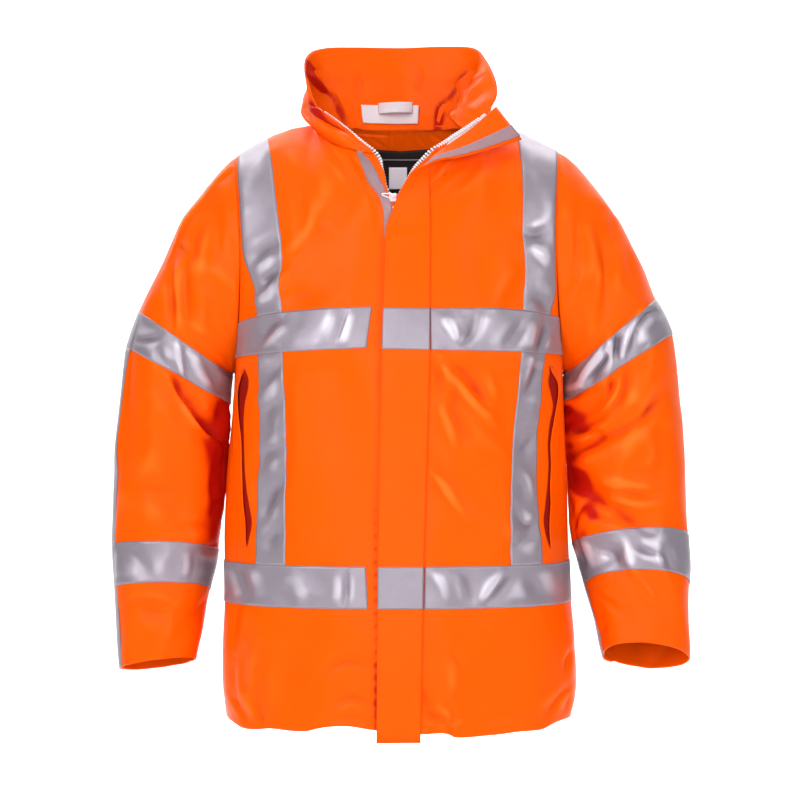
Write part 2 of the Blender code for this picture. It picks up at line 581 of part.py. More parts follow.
def sheet(name, grid, flip, look, thickness, outward, closed=False):
    """A wall over a grid of points, each cell cut along the same diagonal, thickened to one side."""
    rows, columns = grid.shape[:2]
    first = np.arange(rows - 1)[:, None] * columns
    here = np.arange(columns if closed else columns - 1)[None, :]
    after = (here + 1) % columns
    a, b, c, d = first + here, first + after, first + columns + after, first + columns + here
    faces = np.concatenate([np.stack([a, b, c], -1).reshape(-1, 3), np.stack([a, c, d], -1).reshape(-1, 3)])
    if flip:
        faces = faces[:, ::-1]
    mesh = bpy.data.meshes.new(name)
    mesh.from_pydata(grid.reshape(-1, 3).tolist(), [], faces.tolist())
    mesh.shade_smooth()
    made = add(name, mesh, look)
    wall = made.modifiers.new("Wall", "SOLIDIFY")
    wall.thickness = thickness
    wall.offset = 1 if outward else -1
    return made


def strip_on(name, grid, normal, rows, columns, flip, look, closed=False, edges="", thickness=TAPE):
    """A strip that lies on a panel: a slice of the panel's own points, moved out."""
    part = (grid + normal * LIFT)[rows[0]:rows[1] + 1]
    if not closed:
        part = part[:, columns[0]:columns[1] + 1]
    return sheet(name, drawn_in(part, SEAM, edges), flip, look, thickness, True, closed)


def box(name, low, high, look):
    bpy.ops.mesh.primitive_cube_add(size=1)
    made = bpy.context.object
    made.name = name
    made.data.name = name
    made.data.materials.append(look)
    size = np.subtract(high, low)
    made.data.transform(Matrix.Diagonal((*size.tolist(), 1)))
    made.location = tuple((np.add(low, high) / 2).tolist())
    for group in list(made.users_collection):
        group.objects.unlink(made)
    bpy.data.collections[COLLECTION].objects.link(made)
    return made


def joined(target, others):
    """One body from several that overlap."""
    for other in others:
        union = target.modifiers.new("Join", "BOOLEAN")
        union.operation = "UNION"
        union.object = other
        other.hide_render = True
        other.display_type = "WIRE"
        bpy.data.collections[COLLECTION].objects.unlink(other)
        bpy.data.collections["cutters"].objects.link(other)


def empty(name, parent, location, tilt=0.0):
    made = bpy.data.objects.new(name, None)
    made.parent = parent
    made.location = location
    made.rotation_euler = (tilt, 0, 0)
    bpy.data.collections[COLLECTION].objects.link(made)
    return made


def tube(name, points, radius, look, cyclic=False):
    curve = bpy.data.curves.new(name, "CURVE")
    curve.dimensions = "3D"
    curve.bevel_depth = radius
    curve.bevel_resolution = 1
    curve.use_fill_caps = not cyclic
    spline = curve.splines.new("POLY")
    spline.points.add(len(points) - 1)
    spline.points.foreach_set("co", np.concatenate([points, np.ones((len(points), 1))], axis=1).ravel())
    spline.use_cyclic_u = cyclic
    made = bpy.data.objects.new(name, curve)
    curve.materials.append(look)
    bpy.data.collections[COLLECTION].objects.link(made)
    return made


# --- the front opening --------------------------------------------------------------------------------------


def top_gaps(grid):
    """How far a panel's top edge is drawn in: more along the shoulder seam than along the neckline."""
    return np.where(np.abs(grid[-1, :, 0]) > NECK_FRONT["x"][-1] - 0.002, RIDGE_GAP, NECK_GAP)


def flap_grid(grid, columns):
    """The storm flap: over the zip from the hem up, then turned over beside the open zip."""
    share = np.asarray(columns)[:, None]
    rows = []
    for line in grid:
        z = line[0, 2]
        if z > FLAP_TOP["free_z"][0] - 0.008:
            break
        free = np.interp(z, FLAP_FREE["z"], FLAP_FREE["x"])
        stitch = np.interp(z, FLAP_STITCH["z"], FLAP_STITCH["x"])
        x = free + (stitch - free) * share[:, 0]
        lift = FLAP_LIFT[0] + (FLAP_LIFT[1] - FLAP_LIFT[0]) * share[:, 0]
        y = np.interp(x, line[:, 0], line[:, 1]) - lift
        level = np.interp(x, line[:, 0], line[:, 2])
        rows.append(np.stack([x, y, level], axis=-1))
    rows[0][:, 2] = FLAP_FOOT_Z
    for row in zip(*FLAP_TOP.values()):
        free, inner = np.array(row[:3]), np.array(row[3:])
        rows.append(free * (1 - share) + inner * share)
    return np.array(rows)


def zip_path(front, front_normal, collar, collar_normal):
    """A row of zip teeth: along a front's edge, then along the collar's, square to the edge all the way."""
    lines = [np.concatenate([front[:-1, step], collar[-1 - step]]) for step in (0, 1)]
    out = np.concatenate([front_normal[:-1, 0], collar_normal[-1]])
    away = lines[0] - lines[1]
    for vectors in (away, out):
        vectors /= np.linalg.norm(vectors, axis=1, keepdims=True)
        vectors[1:-1] = (vectors[:-2] + 2 * vectors[1:-1] + vectors[2:]) / 4
    tangent = np.gradient(lines[0], axis=0)
    tangent /= np.linalg.norm(tangent, axis=1, keepdims=True)
    away -= (away * tangent).sum(axis=1, keepdims=True) * tangent
    away /= np.linalg.norm(away, axis=1, keepdims=True)
    path = lines[0] + away * ZIP_OFF_EDGE - out * ZIP_SET_BACK
    path[0, 2] = ZIP_FOOT_Z
    return path


def pocket_grid(side, folds, flip):
    """A pocket welt, over the front's own surface between its slit and its outer edge."""
    rows = []
    mouth = POCKET[side]
    for z in np.linspace(mouth["z"][0], mouth["z"][-1], 8):
        line = lower_row(side, "front", z)
        across = np.linspace(smooth(z, mouth["z"], mouth["slit"]), smooth(z, mouth["z"], mouth["outer"]), 4)
        y = np.interp(across, side * line[:, 0], line[:, 1])
        rows.append(np.stack([side * across, y, np.full(4, z)], axis=-1))
    grid = np.array(rows)
    return folded(grid, grid_normals(grid, flip), folds)


# --- the parka ----------------------------------------------------------------------------------------------


def start_scene():
    for old in list(bpy.data.objects):
        bpy.data.objects.remove(old, do_unlink=True)
    for name in (COLLECTION, "cutters"):
        group = bpy.data.collections.new(name)
        bpy.context.scene.collection.children.link(group)


def looks():
    return {
        "orange": material("orange_coated_polyester", (1.0, 0.14, 0.002), 0.4),
        "silver": material("silver_reflective_tape", (0.55, 0.50, 0.55), 0.45),
        "mauve": material("grey_hook_strip", (0.46, 0.24, 0.31), 0.9),
        "black": material("black_lining", (0.02, 0.01, 0.01), 0.8),
        "white": material("white_zip_plastic", (0.85, 0.85, 0.85), 0.4),
        "label": material("white_label", (0.7, 0.6, 0.62), 0.8),
    }


def panel_tapes(name, grid, normal, rows, columns, flip, look):
    """A panel's upright tape, in two lengths: above its chest tape and between it and the hem tape."""
    chest, hem = rows["chest_tape"], rows["hem_tape"]
    strip_on(f"{name}_upper", grid, normal, (chest[1], rows["top"]), columns, flip, look, edges="foot top")
    strip_on(f"{name}_lower", grid, normal, (hem[1], chest[0]), columns, flip, look, edges="foot top")


def make_front(side, look):
    """One front with its tapes and its pocket welt. Returns its grid and normals."""
    word, flip = SIDES[side], side < 0
    grid, rows = front_grid(side)
    grid = folded(grid, grid_normals(grid, flip), FOLDS[f"front_{word}"])
    normal = grid_normals(grid, flip)
    wall = drawn_in(drawn_in(grid, SEAM, "end"), top_gaps(grid), "top")
    sheet(f"front_{word}", wall, flip, look["orange"], WALL, False)
    across = (FIRST_TAPE_COLUMN, grid.shape[1] - 1)
    for name in ("chest_tape", "hem_tape"):
        strip_on(f"{name}_{word}", grid, normal, rows[name], across, flip, look["silver"], edges="end")
    panel_tapes(f"upright_tape_{word}", grid, normal, rows, UPRIGHT_COLUMNS, flip, look["silver"])
    if side < 0:
        levels = (rows["chest_tape"][1] + HOOK_STRIP_START, rows["top"])
        strip_on("hook_strip_front", grid, normal, levels, HOOK_COLUMNS, flip, look["mauve"], edges="top",
                 thickness=HOOK)
    welt = pocket_grid(side, FOLDS[f"front_{word}"], flip)
    welt = welt + grid_normals(welt, flip) * WELT_LIFT
    sheet(f"pocket_welt_{word}", welt, flip, look["orange"], WELT, True)
    return grid, normal


def make_back(look):
    """The back with its tapes, and what shows inside the neck: the facing, the lining and the size label."""
    grid, rows = back_grid()
    grid = folded(grid, grid_normals(grid, True), FOLDS["back"])
    normal = grid_normals(grid, True)
    last = grid.shape[1] - 1
    wall = drawn_in(drawn_in(grid, SEAM, "start end"), top_gaps(grid), "top")
    sheet("back", wall, True, look["orange"], WALL, False)
    for name in ("chest_tape", "hem_tape"):
        strip_on(f"{name}_back", grid, normal, rows[name], (0, last), True, look["silver"], edges="start end")
    for word, columns in BACK_TAPE_COLUMNS.items():
        panel_tapes(f"back_tape_{word}", grid, normal, rows, columns, True, look["silver"])

    top = rows["top"]
    facing = (grid - normal * (WALL + FACING_LIFT))[top - 1:top + 1, slice(*FACING_COLUMNS)]
    facing[-1, :, 2] += 5 * NECK_GAP
    sheet("neck_facing", facing, True, look["orange"], LINER, False)
    lining = (grid - normal * (WALL + LINING_LIFT))[top - LINING_DOWN:top, slice(*LINING_COLUMNS)]
    sheet("lining_yoke", drawn_in(lining, 2 * SEAM, "top"), True, look["black"], LINER, False)
    z = np.linspace(*SIZE_LABEL["z"], 3)[:, None]
    x = np.linspace(*SIZE_LABEL["x"], 3)[None, :]
    y = smooth(z, CENTRE_BACK["z"], CENTRE_BACK["y"]) - (WALL + LABEL_OFF)
    patch = np.stack(np.broadcast_arrays(x, y, z), axis=-1)
    sheet("label_size", patch, True, look["label"], LABEL, False)


def make_sleeve(side, look):
    """One sleeve with its two bands, and its upright tape above and below the lower band."""
    word, flip = SIDES[side], side > 0
    rings, (upper, lower) = sleeve_rings()
    grid = sleeve_grid(side, rings, sleeve_turns(side))
    normal = grid_normals(grid, flip, closed=True)
    near = np.clip(0.5 - normal[..., 1], 0, 1) * np.clip((rings[:, None] - 0.3) / 1.2, 0, 1)
    grid = folded(grid, normal, FOLDS[f"sleeve_{word}"], near=near)
    normal = grid_normals(grid, flip, closed=True)
    sheet(f"sleeve_{word}", grid, flip, look["orange"], WALL, False, closed=True)
    for name, band in (("upper", upper), ("lower", lower)):
        strip_on(f"arm_band_{word}_{name}", grid, normal, band, None, flip, look["silver"], closed=True)
    for name, levels, edges in (("upper", (upper[1], lower[0]), "foot top"),
                                ("cuff", (lower[1], len(rings) - 1), "foot")):
        strip_on(f"arm_tape_{word}_{name}", grid, normal, levels, (0, 2), flip, look["silver"], edges=edges)


def make_collar(look):
    """The collar's two layers, and the label and hanger loop inside its back."""
    along = np.linspace(0, 1, COLLAR_STEPS + 1)
    outer = drawn_in(collar_grid(along, COLLAR_ROWS), NECK_GAP, "foot")
    inner = drawn_in(collar_grid(along, COLLAR_ROWS, COLLAR_INWARD, COLLAR_SAG), 3 * SEAM, "foot")
    outer[..., 2] += 2 * NECK_GAP
    inner[..., 2] += 2 * NECK_GAP
    sheet("collar_outer", outer, True, look["orange"], COLLAR_LAYER, True)
    sheet("collar_inner", inner, True, look["orange"], COLLAR_LAYER, False)
    patch = collar_grid(np.linspace(*NECK_LABEL["along"], 4), np.linspace(*NECK_LABEL["rows"], 3),
                        NECK_LABEL["inward"])
    sheet("label_neck", patch, True, look["label"], LABEL, False)
    loop = collar_grid(np.linspace(*HANGER["along"], 7), np.linspace(*HANGER["rows"], 3), HANGER["inward"])
    loop[..., 1] -= HANGER["bow"] * np.sin(math.pi * np.linspace(0, 1, 7)) ** 0.7
    sheet("hanger_loop", loop, True, look["label"], LINER, False)


def make_flap(front, look):
    """The storm flap over the zip, its tapes, and the loop strip on its turned top's inner face."""
    flap = flap_grid(front, np.array(FLAP_COLUMNS))
    normal = grid_normals(flap, False)
    sheet("storm_flap", flap, False, look["orange"], WALL, True)
    rows = front_grid(1)[1]
    for name in ("chest_tape", "hem_tape"):
        strip_on(f"{name}_flap", flap + normal * WALL, normal, rows[name], (0, len(FLAP_COLUMNS) - 1), False,
                 look["silver"])
    under = (flap - normal * LIFT)[-1 - FLAP_TURNED:, 1:3]
    sheet("hook_strip_flap", under, False, look["mauve"], HOOK, False)


def make_zip(fronts, look):
    """The zip: two rows of teeth, closed below the slider and open above it. Returns the slider's seat."""
    along = np.linspace(0, 1, COLLAR_STEPS + 1)
    ends = {-1: along[:ZIP_STEPS], 1: along[:-1 - ZIP_STEPS:-1]}
    levels = SLIDER_Z + np.array([-0.5, 0, 0.5]) * SLIDER["tall"]
    rows = []
    for side, word in SIDES.items():
        collar = collar_grid(ends[side], ZIP_COLLAR_ROWS, ZIP_COLLAR_INWARD)
        path = zip_path(*fronts[side], collar, grid_normals(collar, side < 0))
        tube(f"zip_{word}", path, ZIP_BEAD, look["white"])
        rows.append(np.stack([np.interp(levels, path[:, 2], path[:, axis]) for axis in range(3)], axis=-1))
    low, middle, high = (rows[0] + rows[1]) / 2
    return empty("slider_seat", None, middle.tolist(), -math.atan2(high[1] - low[1], high[2] - low[2]))


def make_slider(seat, look):
    """The slider, tilted to the front's slope, and its pull, which swings under the slider's crown."""
    half, tall, plate = SLIDER["wide"] / 2, SLIDER["tall"] / 2, SLIDER["plate"]
    face = -(SLIDER["clear"] + plate)
    white = look["white"]
    slider = box("slider", (-half, face, -tall), (half, face + plate, tall), white)
    rear = box("slider_rear", (-half, -face - plate, -tall), (half, -face, tall), white)
    post = box("slider_post", (SLIDER_POST["left"], face + plate / 2, tall - SLIDER_POST["low"]),
               (SLIDER_POST["right"], -face - plate / 2, tall - SLIDER_POST["high"]), white)
    arm, rise, thick = CROWN["half_span"], CROWN["rise"], CROWN["thick"]
    crown = [box("crown_bar", (-arm, face - rise - thick, -thick), (arm, face - rise, thick), white)]
    for way in (-1, 1):
        inner, outer = sorted((way * arm, way * (arm - thick)))
        crown.append(box(f"crown_leg_{way + 1}", (inner, face - rise - thick / 2, -thick),
                         (outer, face + plate / 2, thick), white))
    joined(slider, [rear, post] + crown)
    for piece in [slider, rear, post] + crown:
        piece.parent = seat
    hinge = empty("pull_hinge", seat, (0, face - PULL["stand"], 0))
    reach, base, rise = PULL["reach"], PULL["base"] / 2, PULL["tip_up"]
    corners = np.array([(0, 0, -base), (0, 0, base), (-reach * 0.92, 0, rise + 0.0008), (-reach, 0, rise),
                        (-reach * 0.93, 0, rise - 0.0010)])
    pull = tube("pull_tab", corners, PULL["wire"], white, cyclic=True)
    pull.parent = hinge


def build():
    start_scene()
    look = looks()
    fronts = {side: make_front(side, look) for side in SIDES}
    make_back(look)
    for side in SIDES:
        make_sleeve(side, look)
    make_collar(look)
    make_flap(fronts[1][0], look)
    make_slider(make_zip(fronts, look), look)


build()
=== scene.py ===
"""A hi-vis work parka of orange coated cloth with silver tape, as it hangs when worn, with nobody in it.

Metres, +Z up, the front faces -Y and the wearer's left is +X. The origin is the middle of the neck
opening.
"""

import json
import math

import bpy
import numpy as np
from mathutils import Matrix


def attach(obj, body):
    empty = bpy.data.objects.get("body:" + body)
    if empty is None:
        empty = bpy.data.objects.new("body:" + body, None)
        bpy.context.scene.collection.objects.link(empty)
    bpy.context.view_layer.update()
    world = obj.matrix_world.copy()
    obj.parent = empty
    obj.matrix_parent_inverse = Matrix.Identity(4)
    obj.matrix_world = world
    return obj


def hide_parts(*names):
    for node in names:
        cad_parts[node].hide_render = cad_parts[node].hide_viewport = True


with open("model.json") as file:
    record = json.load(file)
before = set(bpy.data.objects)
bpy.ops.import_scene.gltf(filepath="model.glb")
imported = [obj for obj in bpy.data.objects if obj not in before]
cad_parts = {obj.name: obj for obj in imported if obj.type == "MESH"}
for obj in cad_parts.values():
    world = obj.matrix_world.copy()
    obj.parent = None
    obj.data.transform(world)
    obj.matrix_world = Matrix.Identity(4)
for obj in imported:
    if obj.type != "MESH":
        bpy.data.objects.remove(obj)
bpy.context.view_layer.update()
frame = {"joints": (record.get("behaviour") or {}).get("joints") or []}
BODY_NAME = "jacket"


# --- Camera ---------------------------------------------------------------------------------------
# Level with the parka's middle, 2.8 m in front of it, with a frame 1 m wide at the neck's plane.

CAMERA_FROM = (0.0, -2.8, -0.3375)
FRAME_WIDE = 1.0

lens = bpy.data.cameras.new("camera")
lens.sensor_width = 36.0
lens.lens = lens.sensor_width * -CAMERA_FROM[1] / FRAME_WIDE
camera = bpy.data.objects.new("camera", lens)
camera.location = CAMERA_FROM
camera.rotation_euler = (math.pi / 2, 0, 0)
bpy.context.scene.collection.objects.link(camera)
bpy.context.scene.camera = camera


# --- Floor and backdrop ---------------------------------------------------------------------------
# One pale sheet of studio paper: flat under the parka, and curved up behind it.

FLOOR_Z = -1.45
BACKDROP_Y = 5.4
BACKDROP_TOP = 5.2
CURVE_RADIUS = 1.4


def linear(code):
    """The linear colour of an sRGB hex code: c / 12.92 when dark, else ((c + 0.055) / 1.055) **
    2.4."""
    parts = [int(code[i:i + 2], 16) / 255 for i in (1, 3, 5)]
    return tuple(c / 12.92 if c <= 0.04045 else ((c + 0.055) / 1.055) ** 2.4 for c in parts) + (1.0,)


def material(name, code, roughness, **sockets):
    """A Principled material of one colour; sockets are further inputs by name, with _ for a space."""
    made = bpy.data.materials.new(name)
    made.use_nodes = True
    shader = made.node_tree.nodes["Principled BSDF"]
    shader.inputs["Base Color"].default_value = linear(code)
    shader.inputs["Roughness"].default_value = roughness
    for key, value in sockets.items():
        shader.inputs[key.replace("_", " ")].default_value = value
    return made


turn = np.linspace(0, math.pi / 2, 25)
profile = np.concatenate([
    [(-3.6, FLOOR_Z)],
    np.stack([BACKDROP_Y - CURVE_RADIUS + CURVE_RADIUS * np.sin(turn),
              FLOOR_Z + CURVE_RADIUS - CURVE_RADIUS * np.cos(turn)], axis=-1),
    [(BACKDROP_Y, BACKDROP_TOP)],
])
paper = bpy.data.meshes.new("studio_paper")
count = len(profile)
points = [(x, y, z) for x in (-7.0, 7.0) for y, z in profile]
paper.from_pydata(points, [], [(i, count + i, count + i + 1, i + 1) for i in range(count - 1)])
paper.materials.append(material("studio_paper", "#f7f7f7", 0.95))
paper.shade_smooth()
backdrop = bpy.data.objects.new("studio_paper", paper)
bpy.context.scene.collection.objects.link(backdrop)


# --- Light ----------------------------------------------------------------------------------------
# Soft boxes in front to either side and above, and an even white surround.


def soft_box(name, place, aim, size, power):
    """A rectangular lamp of that size in metres and power in watts, turned from its place towards
    aim."""
    lamp = bpy.data.lights.new(name, "AREA")
    lamp.shape = "RECTANGLE"
    lamp.size, lamp.size_y = size
    lamp.energy = power
    made = bpy.data.objects.new(name, lamp)
    made.location = place
    way = np.subtract(aim, place)
    made.rotation_euler = (math.atan2(math.hypot(way[0], way[1]), -way[2]), 0, math.atan2(-way[0], way[1]))
    bpy.context.scene.collection.objects.link(made)


soft_box("box_left", (-1.7, -2.6, 1.0), (0, 0, -0.35), (0.9, 1.3), 50)
soft_box("box_right", (2.1, -2.3, 0.7), (0, 0, -0.35), (0.9, 1.3), 30)
soft_box("box_top", (0.0, -1.0, 2.3), (0, 0, -0.3), (2.0, 0.8), 16)
soft_box("box_front", (0.0, -3.0, -0.05), (0, 0, -0.25), (0.9, 0.9), 24)
soft_box("box_behind", (0.0, 2.6, 4.4), (0.0, 5.4, 0.2), (8.0, 1.4), 700)
world = bpy.data.worlds.new("studio")
world.use_nodes = True
world.node_tree.nodes["Background"].inputs["Color"].default_value = (1, 1, 1, 1)
world.node_tree.nodes["Background"].inputs["Strength"].default_value = 0.18
bpy.context.scene.world = world
bpy.context.scene.view_settings.view_transform = "Standard"


# --- Cloth panels: how they are made --------------------------------------------------------------
# Every cloth piece is a fine grid of points with its main folds pressed in, and a wall behind it.
# Its UV map is in metres of cloth, so that weave and stitches keep their real size.

WALL = 0.0018  # coated shell and padding
STEP = 0.0028  # distance between grid points
BACK_COARSER = 1.35
ARMHOLE_HALF_ROUND = 0.34  # metres of cloth for one turn up an armhole's side


PLAIN = ("turn", "along", "lean", "sharp", "skew")  # the columns that aren't lengths


def sizes(names, rows):
    """The columns of a short table, by name. Lengths are written in millimetres and come out in
    metres."""
    columns = zip(names.split(), np.array(rows, float).T)
    return {name: column if name in PLAIN else column / 1000 for name, column in columns}


def smooth(at, knots, values):
    """A smooth curve through knots: v0 (1 - r) + v1 r + span (s0 u (1 - u)^2 - s1 u^2 (1 - u)),
    where u runs from 0 to 1 between two knots, r = u^2 (3 - 2u), and v and s are the values and
    slopes at them."""
    at = np.asarray(at, float)
    slope = np.gradient(values, knots)
    piece = np.clip(np.searchsorted(knots, at, side="right") - 1, 0, len(knots) - 2)
    span = knots[piece + 1] - knots[piece]
    u = np.clip((at - knots[piece]) / span, 0, 1)
    rise = u * u * (3 - 2 * u)
    return (
        values[piece] * (1 - rise)
        + values[piece + 1] * rise
        + span * (slope[piece] * u * (1 - u) ** 2 - slope[piece + 1] * u * u * (1 - u))
    )


def refined(stops, size):
    """Levels from the first stop to the last, evenly spaced by about size, and each stop's index."""
    parts = [np.linspace(a, b, max(1, round(abs(b - a) / size)) + 1)[:-1]
             for a, b in zip(stops[:-1], stops[1:])]
    levels = np.concatenate(parts + [stops[-1:]])
    return levels, [int(np.abs(levels - stop).argmin()) for stop in stops]


def path_length(points):
    """The length of a line up to each of its points: the running sum of its steps."""
    return np.concatenate([[0], np.cumsum(np.linalg.norm(np.diff(points, axis=0), axis=1))])


def lengths(points):
    """How far along a line each point is, from 0 to 1."""
    along = path_length(points)
    return along / along[-1]


def points_at(at, scale, points):
    """Points between a line's own, straight between neighbours, at places on the scale of its
    points."""
    return np.stack([np.interp(at, scale, points[:, axis]) for axis in range(3)], axis=-1)


def along_line(points, fractions):
    """Points at fractions of a line's length."""
    return points_at(fractions, lengths(points), points)


def normals(grid, flip, closed=False):
    """Unit normals of a grid: the cross product of its column and row steps."""
    across = np.roll(grid, -1, axis=1) - np.roll(grid, 1, axis=1) if closed else np.gradient(grid, axis=1)
    normal = np.cross(across, np.gradient(grid, axis=0))
    normal /= np.maximum(np.linalg.norm(normal, axis=2, keepdims=True), 1e-12)
    return -normal if flip else normal


def cloth_map(grid):
    """Metres of cloth across and up at each point of a grid: running sums of its steps, from its
    first column and row."""
    across = np.linalg.norm(np.diff(grid, axis=1), axis=2)
    up = np.linalg.norm(np.diff(grid, axis=0), axis=2)
    u = np.concatenate([np.zeros((len(grid), 1)), np.cumsum(across, axis=1)], axis=1)
    v = np.concatenate([np.zeros((1, grid.shape[1])), np.cumsum(up, axis=0)], axis=0)
    return u, v


def waves(at, seed, period):
    """An uneven ripple of about that period, within 1: three sines of seeded phase and unlike
    periods, added, times a slow swing between 0.2 and 1."""
    phase = np.random.default_rng(seed).uniform(0, 2 * math.pi, 5)
    t = at * 2 * math.pi / period
    slow = 0.6 + 0.4 * np.sin(t * 0.173 + phase[3])
    return slow * (0.5 * np.sin(t + phase[0]) + 0.3 * np.sin(t * 1.43 + phase[1])
                   + 0.2 * np.sin(t * 0.61 + phase[2]))


CREASE = "x0 z0 x1 z1 x2 z2 depth wide sharp skew"
PILED = 0.24  # how high cloth piles up beside a crease, as a share of its depth
MM = 0.001


def creases_of(rows):
    """Creases, each a row of three points in the front view, depth, half width and profile. A row
    that stops early has the plain profile: sharp 2, skew 0."""
    return sizes(CREASE, [(*row, *(2, 0)[len(row) - 8:]) for row in rows])


def pressing(grid, creases):
    """How far each point is pressed in by creases.

    Each is a curve in the front view through three points, b(t) = (1-t)^2 a + 2t(1-t) m + t^2 c,
    where m makes it pass the middle point. With r = d / w for a point at distance d, it moves in by
    depth sin(pi t')^0.6 (exp(-r^sharp) - piled exp(-(r - 2.1)^2)), where w is wide (1 + skew) on
    one side and wide (1 - skew) on the other, and t' keeps clear of 0 and 1.
    """
    flat = grid[..., [0, 2]].reshape(-1, 2)
    push = np.zeros(len(flat))
    t = np.linspace(0, 1, 25)[:, None]
    for x0, z0, x1, z1, x2, z2, depth, wide, sharp, skew in zip(*creases.values()):
        start, middle, end = np.array([x0, z0]), np.array([x1, z1]), np.array([x2, z2])
        bend = 2 * middle - (start + end) / 2
        line = (1 - t) ** 2 * start + 2 * t * (1 - t) * bend + t**2 * end
        reach = 5 * wide
        low, high = line.min(axis=0) - reach, line.max(axis=0) + reach
        near_it = np.flatnonzero(((flat > low) & (flat < high)).all(axis=1))
        if not len(near_it):
            continue
        offset = flat[near_it, None] - line[None]
        square = (offset**2).sum(axis=2)
        closest = square.argmin(axis=1)
        way = np.gradient(line, axis=0)[closest]
        here = offset[np.arange(len(near_it)), closest]
        side = np.sign(way[:, 0] * here[:, 1] - way[:, 1] * here[:, 0])
        r = np.sqrt(square.min(axis=1)) / (wide * (1 + skew * side))
        share = np.clip(t[closest, 0], 0.04, 0.96)
        profile = np.exp(-(r**sharp)) - PILED * np.exp(-((r - 2.1) ** 2))
        push[near_it] += depth * np.sin(math.pi * share) ** 0.6 * profile
    return push.reshape(grid.shape[:2])


def creased(grid, normal, creases, near=1.0):
    """Presses creases into a grid along its normals, by near times their depth."""
    return grid - (pressing(grid, creases) * near)[..., None] * normal


DENT_TALL = 2.2  # a dent's height, as a share of its width
DENT_CRISP = 9.0  # how sharp the ridges between dents are


def crumpled(grid, normal, u, v, seed, high, size):
    """Slight uneven dents all over, as stiff cloth has: flat hollows with ridges between them.

    With d_i the distances to seeded points, one in each cell of that size, a point moves out by
    high (-log(sum exp(-crisp d_i^2)) / crisp - 0.15).
    """
    across, up = u / size, v / (size * DENT_TALL)
    low = math.floor(across.min()) - 1, math.floor(up.min()) - 1
    wide, tall = math.ceil(across.max()) + 2 - low[0], math.ceil(up.max()) + 2 - low[1]
    jitter = np.random.default_rng(seed).uniform(0.08, 0.92, (wide, tall, 2))
    total = np.zeros(u.shape)
    cell_x, cell_y = np.floor(across).astype(int) - low[0], np.floor(up).astype(int) - low[1]
    for i in (-1, 0, 1):
        for j in (-1, 0, 1):
            x, y = np.clip(cell_x + i, 0, wide - 1), np.clip(cell_y + j, 0, tall - 1)
            spot = jitter[x, y]
            total += np.exp(-DENT_CRISP * ((x + low[0] + spot[..., 0] - across) ** 2
                                           + (y + low[1] + spot[..., 1] - up) ** 2))
    push = -np.log(total + 1e-6) / DENT_CRISP
    return grid + (high * (push - 0.15))[..., None] * normal


HOLLOW_PASSES = 9  # how wide a stretch of cloth a point is compared with
EVENING_PASSES = 3


def neighbours(values, closed):
    """The sum of the four grid values round each, with the edge's own value beyond it."""
    rest = [(0, 0)] * (values.ndim - 2)
    wide = np.pad(values, [(0, 0), (1, 1), *rest], mode="wrap" if closed else "edge")
    wide = np.pad(wide, [(1, 1), (0, 0), *rest], mode="edge")
    return wide[2:, 1:-1] + wide[:-2, 1:-1] + wide[1:-1, 2:] + wide[1:-1, :-2]


def hollow(grid, normal, closed=False):
    """How far each point lies below the cloth round it, in metres: the mean of its four neighbours,
    taken again and again, minus the point, along the normal. It fades to 0 at the edges."""
    mean = grid
    for _ in range(HOLLOW_PASSES):
        mean = neighbours(mean, closed) / 4
    deep = ((mean - grid) * normal).sum(axis=2)
    for _ in range(EVENING_PASSES):
        deep = (neighbours(deep, closed) + 2 * deep) / 6
    edge = np.minimum(np.arange(len(grid)), np.arange(len(grid))[::-1])[:, None]
    if not closed:
        columns = np.arange(grid.shape[1])
        edge = np.minimum(edge, np.minimum(columns, columns[::-1])[None])
    return deep * np.clip(edge / 5, 0, 1)


